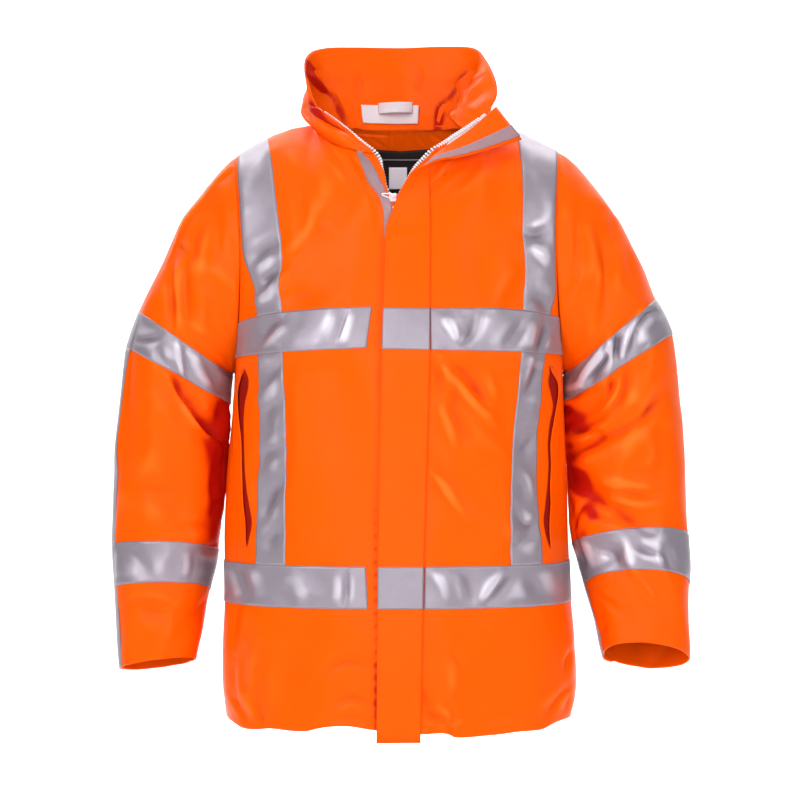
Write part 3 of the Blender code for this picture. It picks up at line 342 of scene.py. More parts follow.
def cloth(name, grid, flip, look, thickness, outward=False, closed=False, uv=None, inside=None,
          faced=0, replaces=None, painted_shade=0.0, seam_rows=0):
    """A piece of cloth over a grid, with its wall, its UV map in metres and its body.

    Its last faced rows and its first seam_rows have the same cloth inside as outside. The painted shade
    given to it adds to how low the cloth counts as lying, which deepens its colour.
    """
    rows, columns = grid.shape[:2]
    first = np.arange(rows - 1)[:, None] * columns
    here = np.arange(columns if closed else columns - 1)[None, :]
    after = (here + 1) % columns
    corners = (first + here, first + after, first + columns + after, first + columns + here)
    a, b, c, d = (corner.ravel() for corner in corners)
    quads = np.stack([d, c, b, a] if flip else [a, b, c, d], axis=-1)
    mesh = bpy.data.meshes.new(f"{name}_cloth")
    mesh.vertices.add(rows * columns)
    mesh.vertices.foreach_set("co", grid.astype(np.float32).ravel())
    mesh.loops.add(quads.size)
    mesh.loops.foreach_set("vertex_index", quads.astype(np.int32).ravel())
    mesh.polygons.add(len(quads))
    mesh.polygons.foreach_set("loop_start", np.arange(0, quads.size, 4, dtype=np.int32))
    mesh.update(calc_edges=True)
    mesh.polygons.foreach_set("use_smooth", np.ones(len(quads), bool))
    u, v = cloth_map(grid) if uv is None else uv
    wrap = u[:, -1:] + np.linalg.norm(grid[:, :1] - grid[:, -1:], axis=2)
    places = np.stack([u.ravel(), v.ravel()], axis=-1)[quads]
    if closed:
        last = np.tile(here.ravel() == columns - 1, rows - 1)
        ends = wrap[:, 0]
        row = np.repeat(np.arange(rows - 1), columns)
        for corner, source in enumerate((3, 2, 1, 0) if flip else (0, 1, 2, 3)):
            if source in (1, 2):
                places[last, corner, 0] = ends[row[last] + (source == 2)]
    # The hollow attribute holds how low the cloth lies plus the painted shade; the materials paint shade
    # where it is positive and highlights where it is negative.
    deep = mesh.attributes.new("hollow", "FLOAT", "POINT")
    low = hollow(grid, normals(grid, flip, closed), closed) + painted_shade
    deep.data.foreach_set("value", low.astype(np.float32).ravel())
    layer = mesh.uv_layers.new(name="cloth")
    layer.data.foreach_set("uv", places.astype(np.float32).ravel())
    for layer_look in (look, inside or look, look, look):
        mesh.materials.append(layer_look)
    row_of = np.repeat(np.arange(rows - 1), len(here.ravel()))
    facing_rows = (row_of >= rows - 1 - faced) | (row_of < seam_rows)
    mesh.polygons.foreach_set("material_index", np.where(facing_rows, 2, 0).astype(np.int32))
    made = bpy.data.objects.new(f"{name}_cloth", mesh)
    bpy.context.scene.collection.objects.link(made)
    wall = made.modifiers.new("Wall", "SOLIDIFY")
    wall.thickness = thickness
    wall.offset = 1 if outward else -1
    wall.use_even_offset = False
    wall.material_offset = 0 if outward else 1
    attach(made, BODY_NAME)
    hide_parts(*([name] if replaces is None else replaces))
    return made


# --- Materials of the cloth -----------------------------------------------------------------------
# A coated shell, a bead-faced tape, a plain lining and a napped strip, each with the weave of the
# real cloth. Colours mottle a little, as cloth that has been worn does.

YARN = 0.00045  # one yarn of the shell's weave
TAPE_YARN = 0.0006


def node(tree, kind, **wanted):
    """Adds a node with its settings, in lower case, and its inputs: values, or the sockets or nodes
    to link. An input goes by its name, with _ for a space, or by i and its number."""
    made = tree.nodes.new(kind)
    for key, value in wanted.items():
        if key.islower() and not key[1:].isdigit():
            setattr(made, key, value)
            continue
        socket = made.inputs[int(key[1:])] if key[1:].isdigit() else made.inputs[key.replace("_", " ")]
        value = value.outputs[0] if isinstance(value, bpy.types.Node) else value
        if isinstance(value, bpy.types.NodeSocket):
            tree.links.new(value, socket)
        else:
            socket.default_value = value
    return made


def woven(look, pitch, weave, grain, grain_size, mottle=0.0, second=None, rough=0.0):
    """Adds a weave, sin(2 pi u / p) sin(2 pi v / p), and an uneven grain as bumps, and mottles the
    colour between the first and the second, with roughness swinging by rough."""
    tree = look.node_tree
    shader = tree.nodes["Principled BSDF"]
    parts = node(tree, "ShaderNodeSeparateXYZ", i0=node(tree, "ShaderNodeUVMap", uv_map="cloth"))
    turns = [node(tree, "ShaderNodeMath", operation="MULTIPLY", i0=along, i1=2 * math.pi / pitch)
             for along in parts.outputs[:2]]
    sines = [node(tree, "ShaderNodeMath", operation="SINE", i0=turned) for turned in turns]
    threads = node(tree, "ShaderNodeMath", operation="MULTIPLY", i0=sines[0], i1=sines[1])
    coords = node(tree, "ShaderNodeTexCoord").outputs["Object"]
    uneven = node(tree, "ShaderNodeTexNoise", Vector=coords, Scale=1 / grain_size, Detail=4.0,
                  Roughness=0.6)
    grains = node(tree, "ShaderNodeMath", operation="MULTIPLY", i0=uneven, i1=grain)
    height = node(tree, "ShaderNodeMath", operation="MULTIPLY_ADD", i0=threads, i1=weave, i2=grains)
    bump = node(tree, "ShaderNodeBump", Height=height, Strength=1.0, Distance=1.0)
    tree.links.new(bump.outputs[0], shader.inputs["Normal"])
    if mottle:
        broad = node(tree, "ShaderNodeTexNoise", Vector=coords, Scale=1 / mottle, Detail=3.0,
                     Roughness=0.55)
        first = shader.inputs["Base Color"].default_value
        mix = node(tree, "ShaderNodeMix", data_type="RGBA", i0=broad, i6=first, i7=linear(second))
        tree.links.new(mix.outputs[2], shader.inputs["Base Color"])
        if rough:
            base = shader.inputs["Roughness"].default_value
            swing = node(tree, "ShaderNodeMath", operation="MULTIPLY_ADD", i0=broad, i1=rough,
                         i2=base - rough / 2)
            tree.links.new(swing.outputs[0], shader.inputs["Roughness"])
    return look


def shaded(look, low, high, deep, painted_highlight_code):
    """Paints light and shade into the colour: painted shade deepens it where the cloth lies low, and
    painted highlights lighten it on ridges. low and high are (from, to) heights in metres, and the
    last two arguments the colours there."""
    tree = look.node_tree
    shader = tree.nodes["Principled BSDF"]
    colour = shader.inputs["Base Color"].links[0].from_socket
    painted_shade_depth = node(tree, "ShaderNodeAttribute", attribute_name="hollow").outputs["Fac"]
    for (start, end), code, share in ((low, deep, 1.0), (high, painted_highlight_code, 0.7)):
        span = node(tree, "ShaderNodeMapRange", interpolation_type="SMOOTHSTEP", Value=painted_shade_depth,
                    From_Min=start, From_Max=end, To_Min=0.0, To_Max=share)
        mix = node(tree, "ShaderNodeMix", data_type="RGBA", i0=span, i6=colour, i7=linear(code))
        colour = mix.outputs[2]
    tree.links.new(colour, shader.inputs["Base Color"])


# Fluorescent polyester with a smooth polyurethane face: deep, even orange, with a soft, weak sheen.
ORANGE = woven(material("orange_shell", "#fb5b00", 0.36, Specular_IOR_Level=0.06), YARN, 0.000012, 0.00005,
               0.006, mottle=0.05, second="#f85700", rough=0.08)
# Painted shade turns the cloth deep red where it lies low, and painted highlights lighten its ridges.
shaded(ORANGE, (0.0002, 0.0028), (-0.0002, -0.0018), "#b9180a", "#ff7a26")
# Fine glass beads on a silver film: grey with a broad metallic gleam, darker where it bends away.
SILVER = woven(material("silver_tape", "#9d949e", 0.40, Metallic=0.35), TAPE_YARN, 0.000012, 0.00004, 0.004,
               mottle=0.012, second="#918794", rough=0.08)
# Painted shade deepens the tape in its hollows, and painted highlights lighten its ridges.
shaded(SILVER, (0.0001, 0.0014), (-0.0001, -0.0009), "#746874", "#e2dce8")
# Black nylon taffeta: nearly black, warmed by the orange round it.
LINING = woven(material("black_lining", "#1c0d0c", 0.7), 0.0005, 0.00003, 0.0002, 0.01)
# Nylon hooks and loops on a woven ground: matt, and speckled by the shadows between the hooks.
MAUVE = woven(material("hook_strip", "#dcb2bc", 0.95), 0.0013, 0.0005, 0.0004, 0.001, mottle=0.003,
              second="#b8949e")
# Printed label cloth, left blank: white satin with a slight pink cast from the shell.
LABEL_LOOK = woven(material("white_label", "#ddd0d5", 0.6), 0.0004, 0.00003, 0.00005, 0.004)


# --- Front and back panels ------------------------------------------------------------------------
# Two fronts and one back, cut from coated cloth, sewn at the sides, shoulders and armholes. The
# tapes are stitched on along both their edges and pucker the cloth a little.

HEM_Z = -0.731
ARMPIT_Z = -0.300
HEM_TAPE_TOP = -0.535
HEM_TAPE_FOOT = -0.585
SECTION_POWER = 2.5  # of the lower body's oval
ROW_SAMPLES = 240
SIDES = {-1: "right", 1: "left"}  # the wearer's, by the sign of x

# The lower body's half widths and depths, level by level.
BODY = sizes("z right left front back", (
    (-731, 216.5, 213.5, 150, 135), (-700, 219.5, 219.5, 150.5, 136), (-640, 218.5, 217.5, 150, 136.5),
    (-585, 216.5, 212.5, 149, 136.5), (-535, 216.5, 210, 148, 136), (-480, 214.5, 206.5, 146, 135.5),
    (-420, 213.5, 205, 145.5, 135), (-360, 209.5, 204.5, 145.5, 134), (-300, 205, 203.5, 146, 132),
))
# Each armhole: an upright oval that dips toward the neck halfway up.
ARMHOLE = {
    -1: {"y": 0.005, "z": -0.1670, "high": 0.1330, "front": 0.085, "back": 0.095,
         "x_foot": 0.2050, "x_top": 0.2065, "dip": 0.0110},
    1: {"y": 0.005, "z": -0.1635, "high": 0.1365, "front": 0.085, "back": 0.095,
        "x_foot": 0.2035, "x_top": 0.1985, "dip": 0.0100},
}
# The centre front, from armpit level to the neck: depth, and how far each front's edge stands off it.
CENTRE_FRONT = sizes("z y right left", (
    (-731, -150, -14.5, -5.5), (-300, -146, -14.5, -5.5), (-250, -144, -14.5, -5.5),
    (-200, -139, -14.5, -5.5), (-150, -131, -14.5, -5.5), (-120, -125, -14.5, -5.5),
    (-95, -118.5, -14.7, -4.5), (-65, -112, -18.5, 12.5), (-40, -100, -30, 38),
))
CENTRE_BACK = sizes("z y", ((-300, 132), (-200, 131), (-120, 124), (-60, 110), (-20, 94), (11.5, 78)))
# How high the rows of the upper panels run at the centre, for each turn round the armhole (0 foot,
# 1 top).
UPPER_FRONT = {
    -1: sizes("turn z", ((0, -300), (0.135, -274.5), (0.305, -225.5), (0.65, -130), (1, -40))),
    1: sizes("turn z", ((0, -300), (0.155, -277.5), (0.32, -228.5), (0.65, -130), (1, -37.5))),
}
UPPER_BACK = sizes("turn z", ((0, -300), (0.145, -276), (0.315, -227), (0.65, -110), (1, 11.5)))
CHEST_TAPE = {-1: (0.135, 0.305), 1: (0.155, 0.320)}  # its lower and upper edge, in turns
BACK_TAPE = (0.145, 0.315)
# The neckline and the shoulder seam, from the centre out, for the wearer's right; the left is its
# mirror.
NECK_FRONT = sizes("x y z", ((30, -100, -40), (60, -90, -34), (86, -66, -22), (104, -30, -4), (108, 5, 8)))
NECK_BACK = sizes("x y z", ((0, 78, 11.5), (40, 74.5, 11.5), (75, 60, 11.5), (100, 32, 10.5), (108, 5, 8)))
SHOULDER = sizes("x y z", ((134, 5, 2.5), (159, 5, -5.5), (172.5, 5, -12.5), (186, 5, -20)))
# Edges of the upright tapes on each front, by height.
UPRIGHT = {
    -1: sizes("z inner outer", (
        (-600, 137.5, 173.5), (-460, 137, 173), (-277, 140, 171), (-225, 143, 173.5), (-200, 145, 176),
        (-165, 141, 189), (-130, 145, 193), (-88, 151, 198.5), (-45, 157, 200), (-10, 165, 202),
    )),
    1: sizes("z inner outer", (
        (-600, 136, 168), (-505, 131, 170), (-460, 132, 168), (-285, 144, 175), (-230, 147.6, 184),
        (-180, 151, 192), (-150, 149, 189), (-70, 149, 196), (-10, 146, 194),
    )),
}
UPRIGHT_BACK = sizes("z inner outer", (
    (-731, 118, 166), (-300, 120, 168), (-100, 124, 172), (-30, 120, 166), (10, 113, 156),
))
# The right front's first columns: the end of its tapes low down, and the hook strip beside the open
# zip.
HOOK_STRIP = sizes("z inner outer", (
    (-731, 16.5, 33), (-225, 16.5, 33), (-150, 15.8, 19), (-132, 15.5, 19), (-105, 15.8, 23.5),
    (-93, 16.5, 26), (-75, 22.5, 38.5), (-60, 30, 44), (-50, 36, 48), (-40, 45, 52),
))
# Just outside the flap's stitching, where the left front's tapes end; higher up, a line clear of
# the turned flap.
FLAP_LINE = sizes("z x", (
    (-743, 25.2), (-540, 29.2), (-300, 36.2), (-132, 37.2), (-95, 42), (-65, 54), (-37.5, 70),
))


def lower_row(side, face, z):
    """One level of the lower body, from the centre to the side seam: a quarter of an oval."""
    half = smooth(z, BODY["z"], BODY["left" if side > 0 else "right"])
    deep = smooth(z, BODY["z"], BODY[face])
    edge = 0.0
    if face == "front":
        edge = side * np.interp(z, CENTRE_FRONT["z"], CENTRE_FRONT["left" if side > 0 else "right"])
    angle = np.linspace(0, math.pi / 2, ROW_SAMPLES)
    x = half * np.sin(angle) ** (2 / SECTION_POWER)
    y = deep * np.cos(angle) ** (2 / SECTION_POWER)
    x = np.concatenate([[edge], x[x > edge + 1e-4]])
    y = np.concatenate([[deep], y[-(len(x) - 1):]])
    way = -1 if face == "front" else 1
    return np.stack([side * x, way * y, np.full(len(x), float(z))], axis=-1)


def armhole(side, face, turn):
    """A point of the armhole; turn runs from 0 at its foot to 1 at the shoulder tip."""
    hole = ARMHOLE[side]
    angle = math.pi * turn
    way = -hole["front"] if face == "front" else hole["back"]
    x = hole["x_foot"] + (hole["x_top"] - hole["x_foot"]) * turn - hole["dip"] * math.sin(angle) ** 2
    z = hole["z"] - hole["high"] * math.cos(angle)
    return np.array([side * x, hole["y"] + way * math.sin(angle), z])


def top_line(side, face):
    """The neckline and then the shoulder seam, from the centre to the shoulder tip."""
    neck = NECK_FRONT if face == "front" else NECK_BACK
    points = np.stack([np.concatenate([neck[axis], SHOULDER[axis]]) for axis in "xyz"], axis=-1)
    points[:, 0] *= side
    if face == "front":
        points[0, 0] = np.interp(-0.04, CENTRE_FRONT["z"], CENTRE_FRONT["left" if side > 0 else "right"])
        points[0, 2] = UPPER_FRONT[side]["z"][-1]
    return np.concatenate([points, armhole(side, face, 1.0)[None]])


def upper_row(side, face, turn):
    """One row of an upper panel, between the centre line and the armhole.

    It is the straight line between its ends, bowed like the row at the armpit low down and like the
    neckline and shoulder seam high up, with a slight swell of its own.
    """
    share = np.linspace(0, 1, ROW_SAMPLES)
    low = along_line(lower_row(side, face, ARMPIT_Z), share)
    top = along_line(top_line(side, face), share)
    levels = UPPER_FRONT[side] if face == "front" else UPPER_BACK
    z = float(smooth(turn, levels["turn"], levels["z"]))
    if face == "front":
        edge = float(np.interp(z, CENTRE_FRONT["z"], CENTRE_FRONT["left" if side > 0 else "right"]))
        start = np.array([edge, float(smooth(z, CENTRE_FRONT["z"], CENTRE_FRONT["y"])), z])
    else:
        start = np.array([0.0, float(smooth(z, CENTRE_BACK["z"], CENTRE_BACK["y"])), z])
    end = armhole(side, face, turn)
    along = share[:, None]
    low_bow = low - (low[0] * (1 - along) + low[-1] * along)
    top_bow = top - (top[0] * (1 - along) + top[-1] * along)
    low_weight = math.cos(math.pi * turn / 2) ** 8
    top_weight = np.array([turn**3, turn**3, 1 - (1 - turn) ** 2]) * turn
    top_weight[2] = turn**2 * (3 - 2 * turn) * 0.5 + 0.5 * turn**3
    swell = 0.010 * math.sin(math.pi * turn) * np.sin(math.pi * share)
    way = -1 if face == "front" else 1
    row = start * (1 - along) + end * along + low_weight * low_bow + top_weight * top_bow
    row[:, 1] += way * swell
    return row


def crossing(line, edge_of_z):
    """How far along a row the upright edge named by height crosses it."""
    across = np.abs(line[:, 0]) - edge_of_z(line[:, 2])
    return float(np.interp(0, across, lengths(line)))


# The main folds of each panel, as creases.
FOLDS = {
    "front_right": creases_of((
        (-75, -150, -117.5, -210, -160, -270, 4, 22), (-50, -70, -65, -100, -80, -130, 3, 14),
        (-110, -560, -115, -645, -120, -730, 4, 26), (-175, -330, -162.5, -425, -150, -520, 4, 24),
    )),
    "front_left": creases_of((
        (60, -75, 42.5, -107.5, 25, -140, 3, 16), (70, -300, 87.5, -360, 105, -420, -4, 22),
        (150, -330, 160, -425, 170, -520, 4, 24), (95, -600, 90, -665, 85, -730, 4, 26),
    )),
    "back": creases_of((
        (-170, -300, -105, -330, -40, -360, 5, 24), (175, -290, 117.5, -317.5, 60, -345, 5, 22),
        (-60, -480, -67.5, -605, -75, -730, 5, 30), (90, -450, 97.5, -590, 105, -730, 5, 30),
        (-120, -80, -105, -140, -90, -200, 4, 24), (120, -85, 100, -137.5, 80, -190, 4, 24),
    )),
    "sleeve_right": creases_of((
        (-275, -300, -247.5, -347.5, -220, -395, 9, 16), (-280, -140, -277.5, -197.5, -275, -255, 6, 16),
        (-235, -70, -237.5, -110, -240, -150, 4, 16), (-350, -430, -310, -445, -270, -460, 5, 16),
        (-325, -592, -302.5, -596, -280, -600, 4, 10),
    )),
    "sleeve_left": creases_of((
        (270, -310, 237.5, -347.5, 205, -385, 9, 16), (200, -408, 265, -369, 330, -330, 8, 16),
        (205, -420, 247.5, -457.5, 290, -495, 6, 15), (250, -110, 260, -160, 270, -210, 4, 16),
        (215, -60, 220, -95, 225, -130, 4, 16),
    )),
}


def panel_lines(side, face, tape_turns):
    """The rows of half a panel from hem to neckline, and where its tapes, armpit and top lie."""
    step = STEP * (1 if face == "front" else BACK_COARSER)
    lower, low = refined([HEM_Z, HEM_TAPE_FOOT, HEM_TAPE_TOP, ARMPIT_Z], step)
    upper, high = refined([0, *tape_turns, 1], step / ARMHOLE_HALF_ROUND)
    lines = [lower_row(side, face, z) for z in lower] + [upper_row(side, face, turn) for turn in upper[1:]]
    base = len(lower) - 1
    return lines, {"hem_tape": (low[1], low[2]), "chest_tape": (base + high[1], base + high[2]),
                   "armpit": base, "top": len(lines) - 1}


def eased(grid, row, reach=16, passes=40):
    """Rounds the bend at one row: each point near it moves halfway to the mean of its neighbours up and
    down, weighted by exp(-(rows away / reach)^2)."""
    grid = grid.copy()
    weight = np.exp(-(((np.arange(len(grid)) - row) / reach) ** 2))[1:-1, None, None] * 0.5
    for _ in range(passes):
        grid[1:-1] += weight * ((grid[2:] + grid[:-2]) / 2 - grid[1:-1])
    return grid


def columns_at(marks, counts):
    """The fractions of a row at which its columns lie: counts of them between the marks."""
    stops = np.concatenate([[0], np.minimum(marks, 0.985), [1]])
    parts = [np.linspace(a, b, n + 1)[:-1] for a, b, n in zip(stops[:-1], stops[1:], counts)]
    return np.concatenate(parts + [[1.0]])


def edge_of(edges, name):
    """An upright edge as a function of height."""
    return lambda z: smooth(z, edges["z"], edges[name])


# How many columns lie before, between and after the upright edges.
RIGHT_COUNTS = (6, 6, 38, 14, 34)
LEFT_COUNTS = (12, 38, 14, 34)
BACK_COUNTS = (30, 13, 24)


def fine_front(side):
    """A front's grid and the rows and columns of its seams and tapes."""
    lines, rows = panel_lines(side, "front", CHEST_TAPE[side])
    first = (HOOK_STRIP, ("inner", "outer")) if side < 0 else (FLAP_LINE, ("x",))
    edges = [edge_of(shape, key) for shape, keys in (first, (UPRIGHT[side], ("inner", "outer")))
             for key in keys]
    counts = RIGHT_COUNTS if side < 0 else LEFT_COUNTS
    grid = np.array([along_line(line, columns_at([crossing(line, edge) for edge in edges], counts))
                     for line in lines])
    ends = np.cumsum(counts)
    rows["upright"] = (int(ends[-3]), int(ends[-2]))
    rows["first"] = int(ends[1]) if side < 0 else int(ends[0])
    rows["hook"] = (int(ends[0]), int(ends[1]))
    return grid, rows


def fine_back():
    """The back's grid, of its two halves, and the rows and columns of its seams and tapes."""
    edges = [edge_of(UPRIGHT_BACK, key) for key in ("inner", "outer")]
    halves = []
    for side in (-1, 1):
        lines, rows = panel_lines(side, "back", BACK_TAPE)
        halves.append(np.array([
            along_line(line, columns_at([crossing(line, edge) for edge in edges], BACK_COUNTS))
            for line in lines
        ]))
    grid = np.concatenate([halves[0][:, ::-1], halves[1][:, 1:]], axis=1)
    centre, inner, outer = sum(BACK_COUNTS), BACK_COUNTS[0], BACK_COUNTS[0] + BACK_COUNTS[1]
    rows["uprights"] = {"right": (centre - outer, centre - inner), "left": (centre + inner, centre + outer)}
    return grid, rows


SEAM_FADE = 0.010  # folds die away this near to a seam
SEAM_DEEP = 0.0014
SEAM_WIDE = 0.0026
PUCKER = {"high": 0.0006, "period": 0.034, "reach": 0.009}
DENT_WIDE = 0.060


def settled(grid, flip, creases, edges, seams, seed, closed=False, crumple=0.006):
    """A panel's surface: folds, puckers beside its stitched lines, slight dents, and a groove along
    each seam.

    edges are (row or column, index) of its stitched lines; seams are (row or column, index) of its
    cut edges. A pucker is high x waves(along) x exp(-away / reach), and a groove is deep x
    exp(-away / wide).
    """
    u, v = cloth_map(grid)
    fade = np.ones(grid.shape[:2])
    groove = np.zeros(grid.shape[:2])
    for kind, index in seams:
        away = np.abs(v - v[[index]]) if kind == "row" else np.abs(u - u[:, [index]])
        share = np.clip(away / SEAM_FADE, 0, 1)
        fade *= share * share * (3 - 2 * share)
        groove += SEAM_DEEP * np.exp(-away / SEAM_WIDE)
    room = np.clip(np.linalg.norm(np.gradient(grid, axis=0), axis=2) / (0.5 * STEP), 0, 1)
    fade *= room * room
    for some in creases:
        grid = creased(grid, normals(grid, flip, closed), some, fade)
    normal = normals(grid, flip, closed)
    for number, (kind, index) in enumerate(edges):
        away = (v - v[[index]]) if kind == "row" else (u - u[:, [index]])
        along = u if kind == "row" else v
        push = PUCKER["high"] * waves(along, seed * 31 + number, PUCKER["period"])
        push = push * np.exp(-np.abs(away) / PUCKER["reach"]) * fade
        grid = grid + push[..., None] * normal
    dents = crumpled(grid, normal, u, v, seed, crumple, DENT_WIDE) - grid
    grid = grid + dents * fade[..., None] - normal * groove[..., None]
    return grid, normals(grid, flip, closed), (u, v)


# The smaller creases of the fronts: at the collar, zip, armholes, flap, tapes and hem.
FRONT_CREASES = {
    "right": creases_of((
        (-84, -39, -66, -60, -33, -94, 3.4, 6, 1.5, 0.3), (-66, -41, -57, -57, -42, -75, 2.6, 4, 1.5, 0.3),
        (-98, -39, -93, -69, -90, -93, -2, 12), (-33, -87, -29, -111, -26, -134, 2, 3, 1.6),
        (-133, -117, -113, -152, -134, -206, -2.6, 18),
        (-93, -117, -105, -146, -134, -178, 3.6, 9, 1.7, 0.3), (-119, -87, -116, -117, -119, -140, 2.2, 6),
        (-140, -218, -119, -213, -84, -208, 1.8, 8), (-137, -29, -129, -45, -112, -63, -2.4, 10),
        (-79, -272, -69, -249, -63, -224, 3, 6, 1.6, 0.4),
        (-172, -272, -155, -252, -141, -240, 3.4, 7, 1.6, 0.3),
        (-165, -201, -153, -189, -136, -173, 5, 7, 1.6, 0.4), (-179, -173, -165, -158, -143, -146, 2.4, 8),
        (-179, -218, -165, -216, -143, -204, -2.6, 7), (-137, -272, -135, -361, -140, -457, 2.4, 8),
        (-165, -320, -149, -304, -141, -280, 3, 8, 1.7, 0.3), (-160, -373, -153, -349, -135, -338, 2.6, 9),
        (-165, -481, -153, -457, -140, -433, 3.6, 9, 1.8, 0.3), (-172, -421, -158, -403, -138, -397, 2.2, 8),
        (-162, -519, -153, -505, -137, -493, 2.2, 8), (-119, -290, -84, -385, -93, -505, -2.6, 26),
        (-60, -290, -66, -397, -57, -517, 2.4, 22), (-84, -272, -74, -338, -84, -421, 1.8, 16),
        (-66, -586, -62, -562, -64, -538, 3, 4, 1.4, 0.5),
        (-203, -529, -191, -552, -179, -584, 3, 8, 1.7, 0.2), (-137, -540, -119, -562, -112, -584, -2.4, 12),
        (-92, -672, -66, -650, -31, -658, 3, 5, 1.5, 0.5), (-84, -708, -57, -691, -33, -703, 3, 5, 1.5, 0.5),
        (-98, -727, -66, -715, -33, -722, 2.2, 5, 1.6, 0.3),
        (-196, -581, -202, -612, -205, -648, 3.6, 5, 1.5, 0.3),
        (-184, -624, -191, -660, -186, -696, 3, 8, 1.8),
        (-199, -642, -204, -672, -198, -702, 3.8, 5, 1.5, -0.3),
        (-165, -642, -172, -684, -165, -729, 3.2, 9, 1.8, 0.2),
        (-208, -696, -196, -710, -183, -727, 3.4, 4, 1.5, 0.3),
        (-179, -696, -173, -714, -171, -730, 2.6, 4, 1.5, 0.2),
        (-168, -714, -166, -722, -165, -732, 2.2, 3, 1.5), (-149, -624, -137, -672, -143, -732, 2.6, 16),
        (-119, -606, -108, -648, -119, -702, -2.2, 16),
    )),
    "left": creases_of((
        (62, -51, 52, -68, 33, -89, 3.6, 4.5, 1.4, 0.3), (96, -48, 79, -68, 38, -99, 2.4, 5, 1.5, 0.2),
        (119, -39, 96, -81, 60, -117, -2.2, 14), (119, -45, 125, -75, 119, -117, 1.6, 12),
        (138, -146, 119, -182, 96, -218, -3, 16), (143, -176, 125, -200, 108, -240, -2.4, 10),
        (146, -128, 162, -137, 182, -125, 3.4, 8, 1.7, -0.3), (155, -146, 167, -161, 182, -173, -2.8, 9),
        (161, -213, 173, -225, 183, -235, 3.6, 7, 1.6, 0.3), (84, -146, 96, -182, 93, -224, 2, 12),
        (66, -272, 84, -254, 88, -232, 3.4, 9, 1.7, 0.4), (119, -280, 137, -260, 147, -240, 2.6, 8, 1.7),
        (162, -280, 171, -266, 176, -242, 4.4, 6, 1.5, 0.3), (48, -240, 62, -254, 74, -272, -2.6, 7),
        (45, -292, 74, -326, 110, -366, -5, 7, 1.8, 0.3), (55, -280, 88, -323, 119, -357, 3.4, 7, 1.7),
        (43, -320, 66, -361, 74, -397, 3.8, 8, 1.6, 0.3), (49, -285, 55, -320, 52, -349, -3, 5, 1.7),
        (48, -338, 60, -373, 81, -412, -2.2, 8), (39, -421, 55, -447, 79, -481, -4.6, 6, 1.7, 0.3),
        (36, -403, 48, -421, 62, -433, 2.6, 6, 1.7), (84, -421, 100, -457, 119, -493, 1.8, 12),
        (103, -290, 108, -332, 110, -361, -2.6, 8), (131, -314, 125, -373, 127, -433, 1.6, 14),
        (167, -280, 160, -308, 146, -332, 4, 7, 1.6, 0.3), (168, -361, 155, -385, 141, -403, 2.4, 9),
        (138, -466, 149, -487, 167, -481, 4.2, 7, 1.6, -0.3), (134, -514, 146, -505, 167, -502, 2.6, 8, 1.8),
        (146, -421, 155, -439, 159, -463, -2.4, 6), (96, -385, 119, -397, 134, -421, -1.8, 10),
        (66, -538, 79, -557, 84, -584, 3.6, 9, 1.7, 0.3),
        (100, -586, 115, -564, 134, -543, 4.6, 8, 1.6, -0.4), (36, -546, 48, -552, 57, -582, -2.4, 7),
        (155, -546, 162, -564, 173, -581, 2.4, 9), (61, -636, 66, -646, 75, -656, 2.4, 3, 1.4, 0.3),
        (54, -648, 60, -667, 57, -684, -2, 6), (25, -673, 31, -696, 38, -710, 3.6, 6, 1.5, 0.3),
        (28, -709, 43, -715, 60, -722, 4.4, 3.5, 1.4, 0.5), (56, -698, 62, -710, 61, -722, 2.8, 3, 1.4, 0.3),
        (58, -722, 60, -730, 61, -739, 4.6, 2.6, 1.4), (39, -722, 37, -732, 35, -739, 3.8, 3, 1.4, 0.4),
        (67, -729, 74, -727, 84, -728, 2, 3, 1.6), (96, -727, 119, -728, 143, -724, 2, 5, 1.7),
        (178, -715, 191, -698, 207, -684, 3.8, 5, 1.5, 0.3),
        (208, -642, 203, -653, 199, -667, 3.4, 4, 1.4, 0.3), (197, -684, 185, -696, 173, -705, -2, 5),
        (205, -691, 203, -705, 198, -715, 3, 4, 1.6), (119, -600, 131, -648, 125, -708, 1.8, 18),
        (167, -591, 177, -636, 171, -684, -1.8, 14),
    )),
}
# How far the hem of the fronts strays from level.
HEM_LINE = sizes("x rise", (
    (-216.5, 3), (-208, 2), (-190, -3), (-155, 0), (-110, 0), (-95, 4), (-67, 7), (-33, 3), (37, -2),
    (52, -1), (66, -6), (80, -6.5), (114, -4.5), (143, -2.5), (172, -1), (182, 2.5), (193, 5), (213.5, 6),
))
HEM_FADE = 0.030


def hemmed(grid):
    """The lowest cloth follows the hem's uneven line, by its rise x exp(-height over the hem /
    fade)."""
    grid = grid.copy()
    above = np.maximum(grid[..., 2] - HEM_Z, 0)
    grid[..., 2] += smooth(grid[..., 0], HEM_LINE["x"], HEM_LINE["rise"]) * np.exp(-above / HEM_FADE)
    return grid


# Painted shade, which leaves the cloth's shape as it is: beside the flap and along the armholes. As for
# creases.
FRONT_SHADE = {
    "right": creases_of((
        (-28, -375, -29, -560, -27, -740, 1.7, 4.6), (-26, -640, -26, -700, -26, -745, 2.4, 5.5),
        (-197, -70, -200, -150, -200, -220, 2.2, 2.6), (-203, -205, -206, -260, -206, -312, 4, 4),
        (-205, -250, -206, -285, -206, -315, 4, 6),
    )),
    "left": creases_of(((196, -215, 199, -262, 201, -305, 2.4, 3), (46, -60, 36, -76, 30, -96, 1.4, 3))),
}
